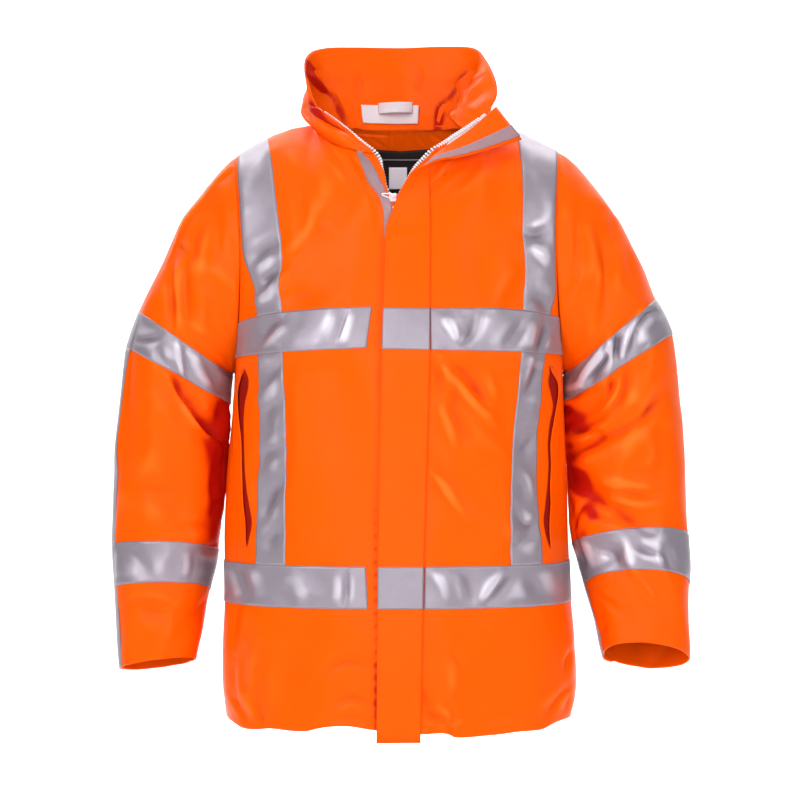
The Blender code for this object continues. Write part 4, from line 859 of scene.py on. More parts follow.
# Where the right front's edge laps over the zip.
ZIP_LAP = {"over": 0.0095, "z": -0.109, "wide": 0.015, "columns": 14}
zip_edges = {}
fronts = {}
for side, word in SIDES.items():
    grid, rows = fine_front(side)
    grid = hemmed(eased(grid, rows["armpit"]))
    inner, outer = rows["upright"]
    chest, hem = rows["chest_tape"], rows["hem_tape"]
    edges = [("row", chest[0]), ("row", chest[1]), ("row", hem[0]), ("row", hem[1]), ("row", 0),
             ("column", inner), ("column", outer)]
    seams = [("column", grid.shape[1] - 1), ("row", rows["top"])]
    grid, normal, uv = settled(grid, side < 0, [FOLDS[f"front_{word}"], FRONT_CREASES[word]], edges, seams,
                               seed=7 + side)
    zip_edges[side] = (grid[:, 0].copy(), grid[:, 6].copy())
    if side < 0:
        lap = ZIP_LAP["over"] * np.exp(-(((grid[..., 2] - ZIP_LAP["z"]) / ZIP_LAP["wide"]) ** 2))
        lap *= np.clip(1 - np.arange(grid.shape[1]) / ZIP_LAP["columns"], 0, 1)[None] ** 0.7
        grid = grid + np.stack([lap, -0.2 * lap, 0 * lap], axis=-1)
        normal = normals(grid, True)
    cloth(f"front_{word}", grid, side < 0, ORANGE, WALL, uv=uv, inside=LINING,
          painted_shade=np.maximum(pressing(grid, FRONT_SHADE[word]), 0))
    fronts[side] = (grid, normal, uv, rows)

# The back hangs in deeper folds, from the armholes and between the tapes.
BACK_CREASES = creases_of((
    (-190, -200, -140, -240, -70, -235, 6, 13, 1.6, 0.3),
    (190, -190, 135, -235, 80, -250, 6.5, 12, 1.6, -0.3),
    (-205, -250, -170, -300, -110, -330, 7, 11, 1.5, 0.3),
    (205, -260, 165, -310, 120, -365, 6, 12, 1.5, -0.3), (-50, -20, -60, -70, -100, -130, 4, 11, 1.8),
    (55, -15, 60, -65, 85, -120, 4, 12, 1.8), (-100, -350, -85, -440, -100, -525, -5, 18),
    (30, -330, 45, -430, 30, -525, 4.5, 17, 2, 0.2), (-30, -595, -40, -660, -25, -725, 6, 14, 1.8),
    (140, -600, 150, -660, 135, -725, 5.5, 14, 1.8, 0.2), (-160, -600, -150, -650, -160, -720, 5.5, 13, 1.8),
    (-120, -400, -40, -430, 40, -410, 3.5, 9, 1.5, 0.2), (120, -380, 60, -420, 10, -480, 3.5, 8, 1.5, -0.2),
    (-180, -420, -160, -460, -120, -480, 4, 8, 1.5, 0.3), (80, -160, 20, -190, -60, -170, 3, 12, 1.8),
    (60, -600, 75, -650, 60, -720, -4, 12), (-90, -610, -100, -660, -85, -715, -4, 14),
    (185, -430, 165, -470, 175, -520, 4, 8, 1.5, 0.3), (0, -250, 10, -280, 60, -300, 2.5, 7, 1.5, 0.3),
    (-20, -300, -60, -330, -110, -320, 2.5, 6, 1.5, 0.3),
))
grid, rows = fine_back()
grid = eased(grid, rows["armpit"])
chest, hem = rows["chest_tape"], rows["hem_tape"]
edges = [("row", chest[0]), ("row", chest[1]), ("row", hem[0]), ("row", hem[1]), ("row", 0)]
edges += [("column", index) for pair in rows["uprights"].values() for index in pair]
seams = [("column", 0), ("column", grid.shape[1] - 1), ("row", rows["top"])]
grid, normal, uv = settled(grid, True, [FOLDS["back"], BACK_CREASES], edges, seams, seed=21)
cloth("back", grid, True, ORANGE, WALL, uv=uv, inside=LINING)
back = (grid, normal, uv, rows)


# --- Silver tape on the body ----------------------------------------------------------------------
# 50 mm bands round the chest and above the hem, and two uprights that run over each shoulder and
# down to the hem band. Each is stitched along both edges, and ends at the flap.

TAPE = 0.0006
TAPE_LIFT = 0.0003


def taped(name, piece, rows, columns, flip, closed=False, look=SILVER, thickness=TAPE):
    """A strip laid on a panel between two of its rows and, unless it goes right round, two of its
    columns."""
    grid, normal, (u, v), _ = piece
    part = (grid + normal * TAPE_LIFT)[rows[0]:rows[1] + 1]
    u, v = u[rows[0]:rows[1] + 1], v[rows[0]:rows[1] + 1]
    if not closed:
        window = slice(columns[0], columns[1] + 1)
        part, u, v = part[:, window], u[:, window], v[:, window]
    return cloth(name, part, flip, look, thickness, outward=True, closed=closed,
                 uv=(u - u[:, :1], v - v[:1]))


for side, word in SIDES.items():
    piece = fronts[side]
    grid, rows = piece[0], piece[3]
    flip, last = side < 0, grid.shape[1] - 1
    chest, hem = rows["chest_tape"], rows["hem_tape"]
    taped(f"chest_tape_{word}", piece, chest, (rows["first"], last), flip)
    taped(f"hem_tape_{word}", piece, hem, (rows["first"], last), flip)
    for level, span in (("upper", (chest[1], rows["top"])), ("lower", (hem[1], chest[0]))):
        taped(f"upright_tape_{word}_{level}", piece, span, rows["upright"], flip)
rows = back[3]
chest, hem = rows["chest_tape"], rows["hem_tape"]
for name, span in (("chest_tape_back", chest), ("hem_tape_back", hem)):
    taped(name, back, span, (0, back[0].shape[1] - 1), True)
for word, columns in rows["uprights"].items():
    for level, span in (("upper", (chest[1], rows["top"])), ("lower", (hem[1], chest[0]))):
        taped(f"back_tape_{word}_{level}", back, span, columns, True)


# --- Sleeves --------------------------------------------------------------------------------------
# Each is one tube of coated cloth set into its armhole, with a band above and one below the elbow
# and an upright tape at the back of the arm. The cloth gathers above the elbow.

# Each sleeve, ring by ring from the armhole to the cuff: the inner and outer points seen from the
# front, the middle's depth, the half depths to the front and the back, how far the ring leans
# forward (degrees) and dips.
SLEEVE = {
    -1: sizes("inner_x inner_z outer_x outer_z y front back lean dip", (
        (206.2, -300, 207.8, -34, 5, 85, 95, 0, 11), (207, -301.4, 240, -68, 6, 85, 94, 0, 8),
        (208, -303, 274, -118, 8, 84, 92, 1, 4), (209, -304.8, 304, -179, 10, 82, 89, 2, 1),
        (210, -307, 326.5, -226.5, 12, 80, 86, 2, 0), (213.5, -343, 340.5, -273, 14, 78, 83, 3, 0),
        (217, -402, 351, -340, 16, 75, 79, 4, 0), (220.5, -460, 358, -420, 15, 71, 73, 6, 0),
        (227.5, -523, 360, -520, 9, 64, 64, 10, 0), (237.5, -571.5, 357, -573, -3, 56, 56, 12, 0),
        (247, -618, 352, -626, -12, 48, 48, 13, 0), (252.5, -659, 347.5, -671, -19, 42, 42, 13, 0),
    )),
    1: sizes("inner_x inner_z outer_x outer_z y front back lean dip", (
        (204.7, -300, 199.8, -27, 5, 85, 95, 0, 10), (205.6, -301.4, 238, -64, 6, 85, 94, 0, 7),
        (206.6, -303, 273, -113, 8, 84, 92, 1, 3), (207.6, -304.8, 301, -170, 9, 82, 89, 2, 1),
        (208.4, -307, 318.5, -212.5, 10, 80, 86, 3, 0), (209.8, -344, 338, -257.5, 12, 78, 83, 5, 0),
        (211, -410, 350, -335, 13, 75, 79, 8, 0), (213.5, -470, 356.5, -425, 8, 71, 73, 12, 0),
        (219, -518, 360, -508, -3, 64, 64, 18, 0), (229, -565, 359, -565, -18, 56, 56, 22, 0),
        (241, -609, 357.5, -618, -34, 49, 49, 26, 0), (251, -647, 356, -656, -47, 43, 43, 27, 0),
    )),
}
UPPER_BAND = (4, 5)  # the rings between which each sleeve's bands lie
LOWER_BAND = (8, 9)
# The outer tape of the right sleeve and the under tape of the left, as turns round from the inner
# point.
SLEEVE_TAPE = {-1: (0.425, 0.545), 1: (0.885, 1.005)}


def sleeve_grid(side, rings, turns):
    """Sleeve rings: each an oval between its inner and outer points, leaning forward as the arm
    does."""
    shape = SLEEVE[side]
    knots = np.arange(len(shape["y"]), dtype=float)
    ring = {name: smooth(rings, knots, column)[:, None] for name, column in shape.items()}
    angle = 2 * math.pi * np.asarray(turns)[None, :]
    cosine, sine = np.cos(angle), np.sin(angle)
    share = (1 - cosine) / 2
    x = ring["inner_x"] + (ring["outer_x"] - ring["inner_x"]) * share - ring["dip"] * sine**2
    z = ring["inner_z"] + (ring["outer_z"] - ring["inner_z"]) * share
    deep = np.where(sine > 0, -ring["front"], -ring["back"]) * sine
    lean = np.radians(ring["lean"])
    return np.stack([side * x, ring["y"] + deep * np.cos(lean), z - deep * np.sin(lean)], axis=-1)


# The front of each sleeve: the cloth gathers in the bend of the elbow and hangs over the lower band.
SLEEVE_CREASES = {
    "right": creases_of((
        (-256, -161, -264, -204, -256, -269, 5, 6, 1.5, 0.3), (-272, -170, -270, -213, -268, -255, -2.6, 5),
        (-279, -165, -279, -204, -275, -243, 3, 5, 1.7),
        (-277, -145, -268, -153, -257, -164, 3, 3, 1.4, 0.3), (-230, -121, -237, -149, -243, -182, -3.4, 7),
        (-248, -125, -252, -149, -249, -165, 2.4, 5, 1.8), (-219, -94, -223, -125, -221, -155, 1.8, 6),
        (-243, -192, -238, -228, -243, -260, -2, 7), (-216, -216, -209, -240, -202, -271, 4, 7, 1.7, 0.3),
        (-200, -133, -197, -162, -201, -187, 2.4, 4, 1.6),
        (-269, -252, -265, -286, -258, -323, 5, 4.5, 1.4, 0.5),
        (-328, -262, -310, -264, -294, -260, 2.6, 4, 1.6, 0.3),
        (-294, -271, -292, -286, -277, -299, 3, 6, 1.7),
        (-237, -291, -229, -311, -224, -333, 3.4, 7, 1.7, 0.2),
        (-281, -303, -271, -325, -258, -348, 7, 4.5, 1.3, 0.6),
        (-259, -347, -240, -372, -212, -397, 7.5, 5, 1.35, 0.5),
        (-268, -338, -256, -362, -236, -386, -3.4, 6), (-246, -368, -229, -386, -214, -401, 4, 3, 1.3, 0.3),
        (-214, -333, -221, -354, -229, -374, 10, 12), (-209, -386, -216, -423, -216, -459, 9, 11),
        (-226, -404, -232, -441, -229, -477, 3.4, 5, 1.6, 0.4),
        (-236, -493, -251, -491, -275, -493, 3, 4, 1.5, 0.4),
        (-214, -459, -224, -465, -236, -484, 4, 6, 1.7), (-221, -514, -234, -522, -243, -518, 3, 6, 1.7),
        (-343, -295, -338, -362, -341, -435, 2, 8), (-304, -313, -297, -374, -304, -459, -2.4, 18),
        (-280, -423, -272, -459, -282, -496, 1.8, 12), (-341, -514, -322, -532, -304, -563, 2, 9),
        (-256, -518, -253, -542, -260, -566, 3, 7, 1.8, 0.2),
        (-333, -589, -302, -586, -272, -600, 2.4, 2.8, 1.4, 0.4),
        (-237, -581, -246, -595, -256, -608, 2.4, 5, 1.7), (-328, -611, -316, -630, -321, -649, 1.6, 8),
        (-243, -615, -256, -630, -270, -642, -1.8, 8),
    )),
    "left": creases_of((
        (215, -121, 216, -153, 207, -194, 2.8, 5, 1.7), (196, -213, 209, -204, 218, -179, 3.4, 4, 1.4, 0.4),
        (243, -133, 251, -194, 240, -267, 4.6, 7, 1.6, 0.3), (229, -125, 234, -158, 229, -192, -2.4, 6),
        (258, -143, 265, -179, 258, -216, -2, 7), (280, -143, 285, -170, 292, -204, 1.6, 6),
        (202, -233, 197, -250, 190, -272, 5, 5, 1.4, 0.3), (225, -216, 231, -243, 225, -274, -2.4, 7),
        (268, -100, 262, -121, 268, -143, 1.8, 5), (251, -267, 234, -291, 218, -318, -5.5, 4.5, 1.6, 0.3),
        (243, -260, 226, -279, 207, -308, 4, 4.5, 1.5),
        (257, -279, 243, -299, 229, -320, 6.5, 4.5, 1.4, 0.3),
        (251, -252, 257, -277, 260, -299, -3.6, 4, 1.7), (265, -252, 263, -277, 259, -301, 4.6, 4, 1.5, 0.3),
        (292, -235, 277, -262, 266, -291, -4, 5, 1.7), (313, -227, 292, -240, 276, -279, 5.4, 4, 1.4, 0.4),
        (197, -303, 201, -319, 197, -333, 3, 6, 1.8), (275, -303, 259, -347, 203, -384, 7.5, 4.5, 1.35, 0.5),
        (257, -311, 257, -320, 254, -330, 4.4, 3, 1.4, 0.3),
        (251, -382, 236, -375, 209, -379, 4.6, 3.2, 1.35, 0.4),
        (310, -333, 287, -364, 248, -384, 4, 5, 1.4, 0.4),
        (248, -384, 226, -398, 197, -413, 5.4, 5, 1.4, 0.4), (190, -350, 200, -347, 210, -357, 6.5, 5, 1.5),
        (192, -372, 204, -363, 216, -357, -4, 3, 1.6), (195, -333, 216, -333, 243, -324, 4.6, 4, 1.4, 0.3),
        (195, -381, 202, -376, 209, -367, 6, 5, 1.7), (198, -391, 219, -394, 243, -386, 3, 4, 1.5),
        (263, -325, 249, -362, 219, -381, -3.4, 7), (316, -318, 298, -347, 280, -359, -2, 6),
        (274, -328, 292, -338, 307, -325, -1.8, 8), (202, -408, 212, -435, 234, -457, 6, 9, 1.7, 0.3),
        (231, -454, 260, -474, 302, -500, 5, 6, 1.5, 0.5), (243, -435, 274, -440, 316, -447, -3, 6),
        (263, -457, 292, -464, 326, -459, -2, 6), (256, -445, 282, -452, 316, -454, 2, 4, 1.7),
        (231, -466, 220, -479, 213, -500, 5, 3.5, 1.35, 0.3),
        (234, -484, 258, -485, 280, -492, 3, 4, 1.5, 0.3), (209, -465, 212, -484, 219, -503, 4, 5, 1.7),
        (202, -435, 202, -459, 207, -484, 7, 9), (213, -496, 223, -527, 231, -556, 5, 4, 1.5, 0.2),
        (304, -386, 310, -404, 298, -423, -2.4, 9), (316, -362, 321, -398, 316, -447, 1.8, 10),
        (277, -413, 292, -423, 310, -428, 1.8, 5, 1.8), (285, -514, 298, -522, 316, -527, 3.4, 4, 1.5, 0.3),
        (243, -518, 263, -530, 248, -549, 4.2, 9, 1.8, 0.2), (321, -514, 326, -532, 336, -552, 2.4, 6, 1.8),
        (277, -518, 280, -535, 292, -554, -2.6, 6), (292, -554, 304, -569, 313, -583, -2.4, 5),
        (243, -578, 256, -586, 268, -597, 2.6, 3.5, 1.5, 0.3),
        (249, -612, 247, -622, 244, -634, 3, 3.5, 1.5, 0.3), (299, -588, 310, -605, 304, -630, -2, 9),
        (270, -581, 277, -605, 272, -627, 1.6, 8),
    )),
}
REAR_SHIFT = 0.014  # the back of a sleeve creases as the front of the other does, this much lower


def rear(creases):
    """Creases for the back of the other sleeve: mirrored, and lower."""
    moved = {name: -column if name[0] == "x" else column for name, column in creases.items()}
    return {name: column - REAR_SHIFT if name[0] == "z" else column for name, column in moved.items()}


CUFF_FACING = 0.055  # how far up the orange facing goes inside
RING_STEP = 0.052  # in rings
TURN_STEP = {"front": 0.0056, "back": 0.0095}  # the cloth's front is the finer half
INTO_SEAM = 0.0016  # how far the sleeve's head is tucked into the armhole seam


def sleeve_turns(side):
    """Turns round a sleeve, starting at its tape's first edge. The front half lies between 0 and a
    half."""
    first, last = SLEEVE_TAPE[side]
    stops = sorted({first, last, first + 1, *(s for s in (0.5, 1.0, 1.5) if first < s < first + 1)})
    parts = []
    for a, b in zip(stops[:-1], stops[1:]):
        step = TURN_STEP["front" if (a + b) / 2 % 1 < 0.5 else "back"]
        parts.append(np.linspace(a, b, max(2, round((b - a) / step)) + 1)[:-1])
    turns = np.concatenate(parts)
    return turns, int(np.abs(turns - last).argmin())


# How far the front of each sleeve swells in to rest against the body, by height, and how far round
# it.
SWELL = {
    -1: sizes("z in", (
        (-600, 0), (-485, 0), (-470, 3.5), (-440, 6), (-400, 6.5), (-350, 5.5), (-325, 2), (-300, 0),
    )),
    1: sizes("z in", (
        (-600, 0), (-540, 0), (-525, 4.5), (-490, 8.2), (-440, 8.5), (-380, 8.5), (-345, 7.5), (-312, 6),
        (-285, 1.8), (-265, 0),
    )),
}
SWELL_TURN = {"at": 0.055, "wide": 0.055}
# Painted shade on each sleeve where it lies against the body: place, half width, half height and depth.
ARM_SHADE = {
    "right": sizes("x z wide tall deep", (
        (-218, -350, 12, 22, 2.4), (-225, -386, 16, 24, 4.8), (-223, -430, 15, 32, 5.2),
        (-226, -476, 12, 26, 4.4), (-231, -512, 9, 15, 2.6), (-210, -400, 10, 70, 3),
    )),
    "left": sizes("x z wide tall deep", (
        (214, -364, 16, 12, 4.8), (206, -350, 10, 14, 3), (222, -440, 13, 22, 4.8), (236, -474, 12, 13, 4),
        (210, -405, 8, 34, 2.6), (225, -504, 7, 14, 2.8),
    )),
}


def arm_shade_on(word, grid, normal):
    """Painted shade: depth x exp(-(dx / wide)^2 - (dz / tall)^2), added over the places, on cloth that
    faces forward."""
    total = np.zeros(grid.shape[:2])
    for x, z, wide, tall, deep in zip(*ARM_SHADE[word].values()):
        total += deep * np.exp(-(((grid[..., 0] - x) / wide) ** 2) - ((grid[..., 2] - z) / tall) ** 2)
    return total * np.clip(0.4 - 1.5 * normal[..., 1], 0, 1)


SLEEVE_SEAM_ROWS = 24  # how much of a sleeve's head is faced with shell cloth
sleeves = {}
for side, word in SIDES.items():
    flip = side > 0
    rings, marks = refined([0.0, *UPPER_BAND, *LOWER_BAND, 11.0], RING_STEP)
    turns, tape_end = sleeve_turns(side)
    grid = sleeve_grid(side, rings, turns)
    grid[..., 0] -= side * INTO_SEAM * np.exp(-rings[:, None] / 0.15)
    turned_by = (turns + 0.5) % 1 - 0.5 - SWELL_TURN["at"]
    swell = smooth(grid[..., 2], SWELL[side]["z"], SWELL[side]["in"])
    grid[..., 0] -= side * swell * np.exp(-((turned_by / SWELL_TURN["wide"]) ** 2))[None]
    normal = normals(grid, flip, closed=True)
    gone = np.clip(rings[:, None] / 0.8, 0, 1)
    room = np.clip(np.linalg.norm(np.gradient(grid, axis=0), axis=2) / (0.6 * STEP), 0, 1) ** 2
    ahead = np.clip(0.30 - 2.2 * normal[..., 1], 0, 1) * gone * room
    behind = np.clip(0.10 + 2.2 * normal[..., 1], 0, 1) * gone * room
    grid = creased(grid, normal, FOLDS[f"sleeve_{word}"], ahead)
    grid = creased(grid, normals(grid, flip, True), SLEEVE_CREASES[word], ahead)
    grid = creased(grid, normals(grid, flip, True), rear(SLEEVE_CREASES[SIDES[-side]]), behind)
    edges = [("row", index) for index in marks[1:5]] + [("row", len(rings) - 1)]
    grid, normal, uv = settled(grid, flip, [], edges, [("row", 0)], seed=40 + side, closed=True,
                               crumple=0.008)
    faced = int((uv[1][-1].mean() - uv[1].mean(axis=1) < CUFF_FACING).sum())
    cloth(f"sleeve_{word}", grid, flip, ORANGE, WALL, closed=True, uv=uv, inside=LINING,
          faced=faced, seam_rows=SLEEVE_SEAM_ROWS, painted_shade=arm_shade_on(word, grid, normal))
    piece = (grid, normal, uv, None)
    sleeves[side] = (grid, normal, uv, {"marks": marks, "tape": tape_end})
    taped(f"arm_band_{word}_upper", piece, (marks[1], marks[2]), None, flip, closed=True)
    taped(f"arm_band_{word}_lower", piece, (marks[3], marks[4]), None, flip, closed=True)
    taped(f"arm_tape_{word}_upper", piece, (marks[2], marks[3]), (0, tape_end), flip)
    taped(f"arm_tape_{word}_cuff", piece, (marks[4], len(rings) - 1), (0, tape_end), flip)


# --- Collar ---------------------------------------------------------------------------------------
# A stand collar of two layers, sewn to the neckline and open with the zip; the inner layer sags on
# the left.

# The collar from the right front's neck point round the back to the left's: foot, upper edge and
# swell. The upper edge is the zip's line at each end, and the collar's top between them.
COLLAR = sizes("along foot_x foot_y foot_z top_x top_y top_z swell", (
    (0, -32, -99, -39.5, -34.5, -96.5, -35.5, 0), (0.05, -48, -95, -37, -56, -80, -18, 2),
    (0.1, -66, -86, -31.5, -78, -62, 0.5, 5), (0.15, -83, -70, -24, -101, -42, 20, 8),
    (0.19, -95, -52, -15, -109, -28, 35, 11), (0.24, -104, -30, -4, -116, -8, 56, 13),
    (0.29, -107.8, -8, 5, -120.5, 14, 78, 12), (0.34, -106, 17, 9.5, -119, 38, 96, 9),
    (0.4, -87, 50, 11.3, -102, 68, 111, 5), (0.5, 0, 78, 11.5, 0, 92, 116, 3),
    (0.6, 87, 50, 11.3, 94, 68, 112, 5), (0.66, 106, 17, 9.5, 108, 36, 94, 6),
    (0.71, 107.8, -8, 5, 116, 12, 74, 6), (0.76, 104, -30, -4, 121, -8, 50, 5),
    (0.81, 95, -52, -15, 117, -28, 30, 3), (0.85, 83, -70, -23.5, 106, -42, 13, 2),
    (0.9, 68, -85, -30, 84, -60, -5.5, 1), (0.95, 53, -94.5, -34.5, 62, -79, -21, 0),
    (1, 41, -99, -37, 44, -95.5, -33, 0),
))
COLLAR_SAG = 0.052  # how far the collar's inner layer sags into the neck on the left
COLLAR_SAG_ALONG = (0.735, 0.075)  # where along it and how widely
COLLAR_SAG_END = 0.86


def smooth_points(at, knots, shape, part):
    """A smooth line through the points of one part of a table."""
    return np.stack([smooth(at, knots, shape[f"{part}_{axis}"]) for axis in "xyz"], axis=-1)


def collar_grid(along, rows, inward=0.0, sag=0.0):
    """The collar: straight from foot to top edge, swelling out by swell x sin(1.6 pi s) at height
    s; sag lets it fall in on the left, by sag x exp(-((along - middle) / wide)^2) sin(pi
    s^0.6)^0.8."""
    knots = COLLAR["along"]
    foot = smooth_points(along, knots, COLLAR, "foot")
    top = smooth_points(along, knots, COLLAR, "top")
    swell = smooth(along, knots, COLLAR["swell"])
    s = np.asarray(rows)[:, None, None]
    grid = foot[None] * (1 - s) + top[None] * s
    out = normals(grid, True)
    s = s[..., 0]
    grid = grid + out * (swell[None] * np.sin(math.pi * np.minimum(s * 1.6, 1)))[..., None]
    grid = grid - normals(grid, True) * inward
    middle, wide = COLLAR_SAG_ALONG
    along = np.asarray(along)[None]
    fall = sag * np.exp(-(((along - middle) / wide) ** 2)) * np.clip((COLLAR_SAG_END - along) / wide, 0, 1)
    fall = fall * np.sin(math.pi * s**0.6) ** 0.8
    grid[..., 0] -= fall
    return grid


PEEL = {"reach": 0.010, "along": 0.125, "wide": 0.075}  # the outer layer stands off the zip on the right
TROUGH = {"from": 0.0022, "to": 0.0060, "deep": 1.3}  # the layers' gap at which their rolled edge sinks
COLLAR_TOP_FACE = 7  # rows of the rolled top edge
COLLAR_TURN_IN = 0.0050  # how far the inner layer reaches below the neck seam, inside
# As for the panels, but a minus sign presses away from the neck: the folds of the inner layer's two
# fronts.
COLLAR_CREASES = {
    "right": creases_of((
        (-118, 74, -104, 62, -89, 51, 4, 4, 1.4, 0.5), (-89, 51, -79, 32, -66, 0, 4, 4, 1.4, 0.5),
        (-109, 86, -97, 72, -88, 60, -7, 7, 1.6, 0.3), (-88, 60, -74, 30, -63, 0, 5, 6, 1.6, 0.4),
        (-82, 62, -68, 30, -57, 2, -6, 6, 1.6, 0.3), (-112, 62, -104, 52, -92, 56, -3, 4, 1.5, 0.3),
        (-70, 40, -60, 20, -52, 5, -3, 8, 1.8), (-104, 40, -90, 28, -76, 4, -2, 6, 1.8),
    )),
    "left": creases_of((
        (108, 71, 90, 61, 75, 53, -4, 4, 1.4, 0.4), (85, 59, 71, 36, 57, 18, -6.5, 4.5, 1.4, 0.4),
        (70, 48, 65, 45, 59, 41, -3, 3, 1.5, 0.3), (57, 46, 50, 26, 49, 5, -5, 5, 1.5, 0.3),
        (63, 36, 56, 20, 53, 2, 4, 4, 1.6), (104, 52, 92, 38, 76, 22, -3, 6, 1.7),
        (116, 40, 104, 26, 88, 12, 2.6, 6, 1.8), (95, 86, 84, 72, 70, 64, -4, 6, 1.6, 0.3),
        (74, 22, 66, 8, 60, -8, -3, 5, 1.6, 0.3),
    )),
}
COLLAR_OUTER_CREASES = creases_of((
    (-122, 30, -116, 18, -106, -2, 3, 5, 1.6, 0.3), (-120, 8, -104, -8, -84, -18, 2.4, 5, 1.6, 0.3),
    (-100, -2, -80, -16, -60, -24, -2.4, 5, 1.8), (118, 34, 112, 20, 104, 4, 3, 5, 1.6, 0.3),
    (-60, 100, -56, 70, -64, 30, 3, 9, 1.8), (20, 105, 26, 70, 16, 30, 3, 10, 1.8),
    (80, 96, 78, 60, 88, 30, 3, 9, 1.8), (-20, 60, 0, 52, 30, 60, -2.4, 8, 1.8),
))
# Painted shade along folds of the collar's inner layer, as for the fronts.
COLLAR_SHADE = creases_of((
    (-123, 80, -112, 74, -99, 60, 4.6, 9), (-122, 94, -114, 82, -104, 66, 3.6, 7),
    (-103, 60, -94, 55, -86, 48, 2.2, 4), (-89, 51, -79, 32, -66, 0, 1.7, 4),
    (-66, 12, -62, 0, -60, -10, 2.2, 4.5), (-114, 60, -98, 40, -78, 14, 1.3, 9),
    (95, 92, 78, 72, 62, 50, 2, 4.4), (62, 50, 52, 36, 48, 10, 3, 5.5), (54, 40, 50, 22, 49, 2, 3.4, 7),
    (108, 71, 90, 61, 75, 53, 1.5, 4), (85, 58, 72, 36, 58, 18, 1.9, 4), (74, 64, 68, 54, 60, 44, 1.8, 4.4),
    (104, 52, 92, 38, 76, 22, 1.2, 5), (57, 0, 66, 6, 78, 20, 1.4, 4.6),
))
# Painted shade on the outer layer beside the open zip, as for the fronts.
COLLAR_OUT_SHADE = creases_of((
    (-113, 34, -106, 20, -96, 8, 4, 4.5), (-104, 14, -88, -4, -70, -12, 4, 4.5),
    (-110, 2, -96, -12, -80, -20, 1.4, 3),
))
COLLAR_LAYER = 0.0008
COLLAR_SHADE_FROM = 34  # the lowest row of the outer layer that shows painted shade, beside the open zip
along = np.linspace(0, 1, 251)
up = np.linspace(0, 1, 46)
outer = collar_grid(along, up)
inner = collar_grid(along, up, inward=0.0016, sag=COLLAR_SAG)
ends = {"right": (along < 0.46).astype(float), "left": (along > 0.54).astype(float)}
kept = np.sin(math.pi * np.clip(up, 0, 0.97))[:, None] ** 0.5
for word, creases in COLLAR_CREASES.items():
    inner = creased(inner, normals(inner, True), creases, ends[word][None] * kept)
outer = creased(outer, normals(outer, True), COLLAR_OUTER_CREASES, kept)
inner_uv, outer_uv = cloth_map(inner), cloth_map(outer)
inner = crumpled(inner, normals(inner, True), *inner_uv, 61, 0.004 * kept, 0.035)
outer = crumpled(outer, normals(outer, True), *outer_uv, 62, 0.004 * kept, 0.045)
peel = PEEL["reach"] * np.exp(-(((along - PEEL["along"]) / PEEL["wide"]) ** 2))[None] * up[:, None] ** 1.4
outer = outer + (peel * np.clip(along / 0.03, 0, 1))[..., None] * normals(outer, True)
middle_top = (outer[-1] + inner[-1]) / 2
half = (outer[-1] - inner[-1]) / 2
rise = np.cross(np.gradient(middle_top, axis=0), half)
rise /= np.linalg.norm(rise, axis=1, keepdims=True)
rise *= np.sign(rise[:, 2:])
gap = np.linalg.norm(half, axis=1, keepdims=True)
sunk = np.clip((2 * gap - TROUGH["from"]) / (TROUGH["to"] - TROUGH["from"]), 0, 1)
crown = gap * (1 - sunk) - TROUGH["deep"] * gap * sunk
roll = [middle_top + half * math.cos(a) + rise * crown * math.sin(a)
        for a in np.linspace(0, math.pi, COLLAR_TOP_FACE + 1)[1:]]
whole = np.concatenate([outer, np.array(roll)])
shade = np.maximum(pressing(whole, COLLAR_OUT_SHADE), 0)
shade[:COLLAR_SHADE_FROM + 1] = 0
cloth("collar_outer", whole, True, ORANGE, COLLAR_LAYER, painted_shade=shade)
foot = inner[:1] - inner[1:2]
foot = foot / np.linalg.norm(foot, axis=2, keepdims=True) * COLLAR_TURN_IN
foot = foot * np.array([1.0, 0.5])[:, None, None]
within = np.concatenate([inner[:1] + foot, inner])
cloth("collar_inner", within, True, ORANGE, COLLAR_LAYER,
      painted_shade=np.maximum(pressing(within, COLLAR_SHADE), 0))


# --- Storm flap -----------------------------------------------------------------------------------
# A double strip of coated cloth over the zip, sewn to the left front and turned over at its open
# top, where a loop strip is sewn inside it.

# The storm flap above the chest: its free edge and its inner edge, where it turns over beside the
# open zip.
FLAP_TOP = sizes("free_x free_y free_z inner_x inner_y inner_z", (
    (-17.1, -130.5, -132.3, 35.8, -122.5, -132), (-13.1, -129.2, -120.4, 35.8, -118.5, -118),
    (-7.2, -128, -106, 35.5, -113.8, -101), (-2.2, -127.2, -92.7, 35, -109.8, -86),
    (3.8, -126.5, -80.8, 34.5, -106.8, -72), (10.4, -125.8, -70, 34.5, -105.5, -61),
    (19.1, -125, -61, 35, -105.5, -51.5), (30.5, -123, -56.5, 38.5, -105, -44),
    (47.9, -118, -49.5, 50.5, -100, -34.5), (70.7, -109, -45.5, 68, -89, -21.5),
    (94.4, -97, -38.5, 86, -76, -7.5), (121, -81, -29, 102.5, -62, 8), (148.7, -63, -18.5, 118, -51, 23),
))
FLAP_FREE = sizes("z x", ((-743, -28), (-540, -26.5), (-300, -22.5), (-132, -17.1)))
FLAP_STITCH = sizes("z x", ((-743, 24), (-540, 28), (-300, 35), (-132, 35.8)))
FLAP_FOOT_Z = -0.743
FLAP_LIFT = (0.0032, 0.0010)  # at its free edge and at its stitched edge

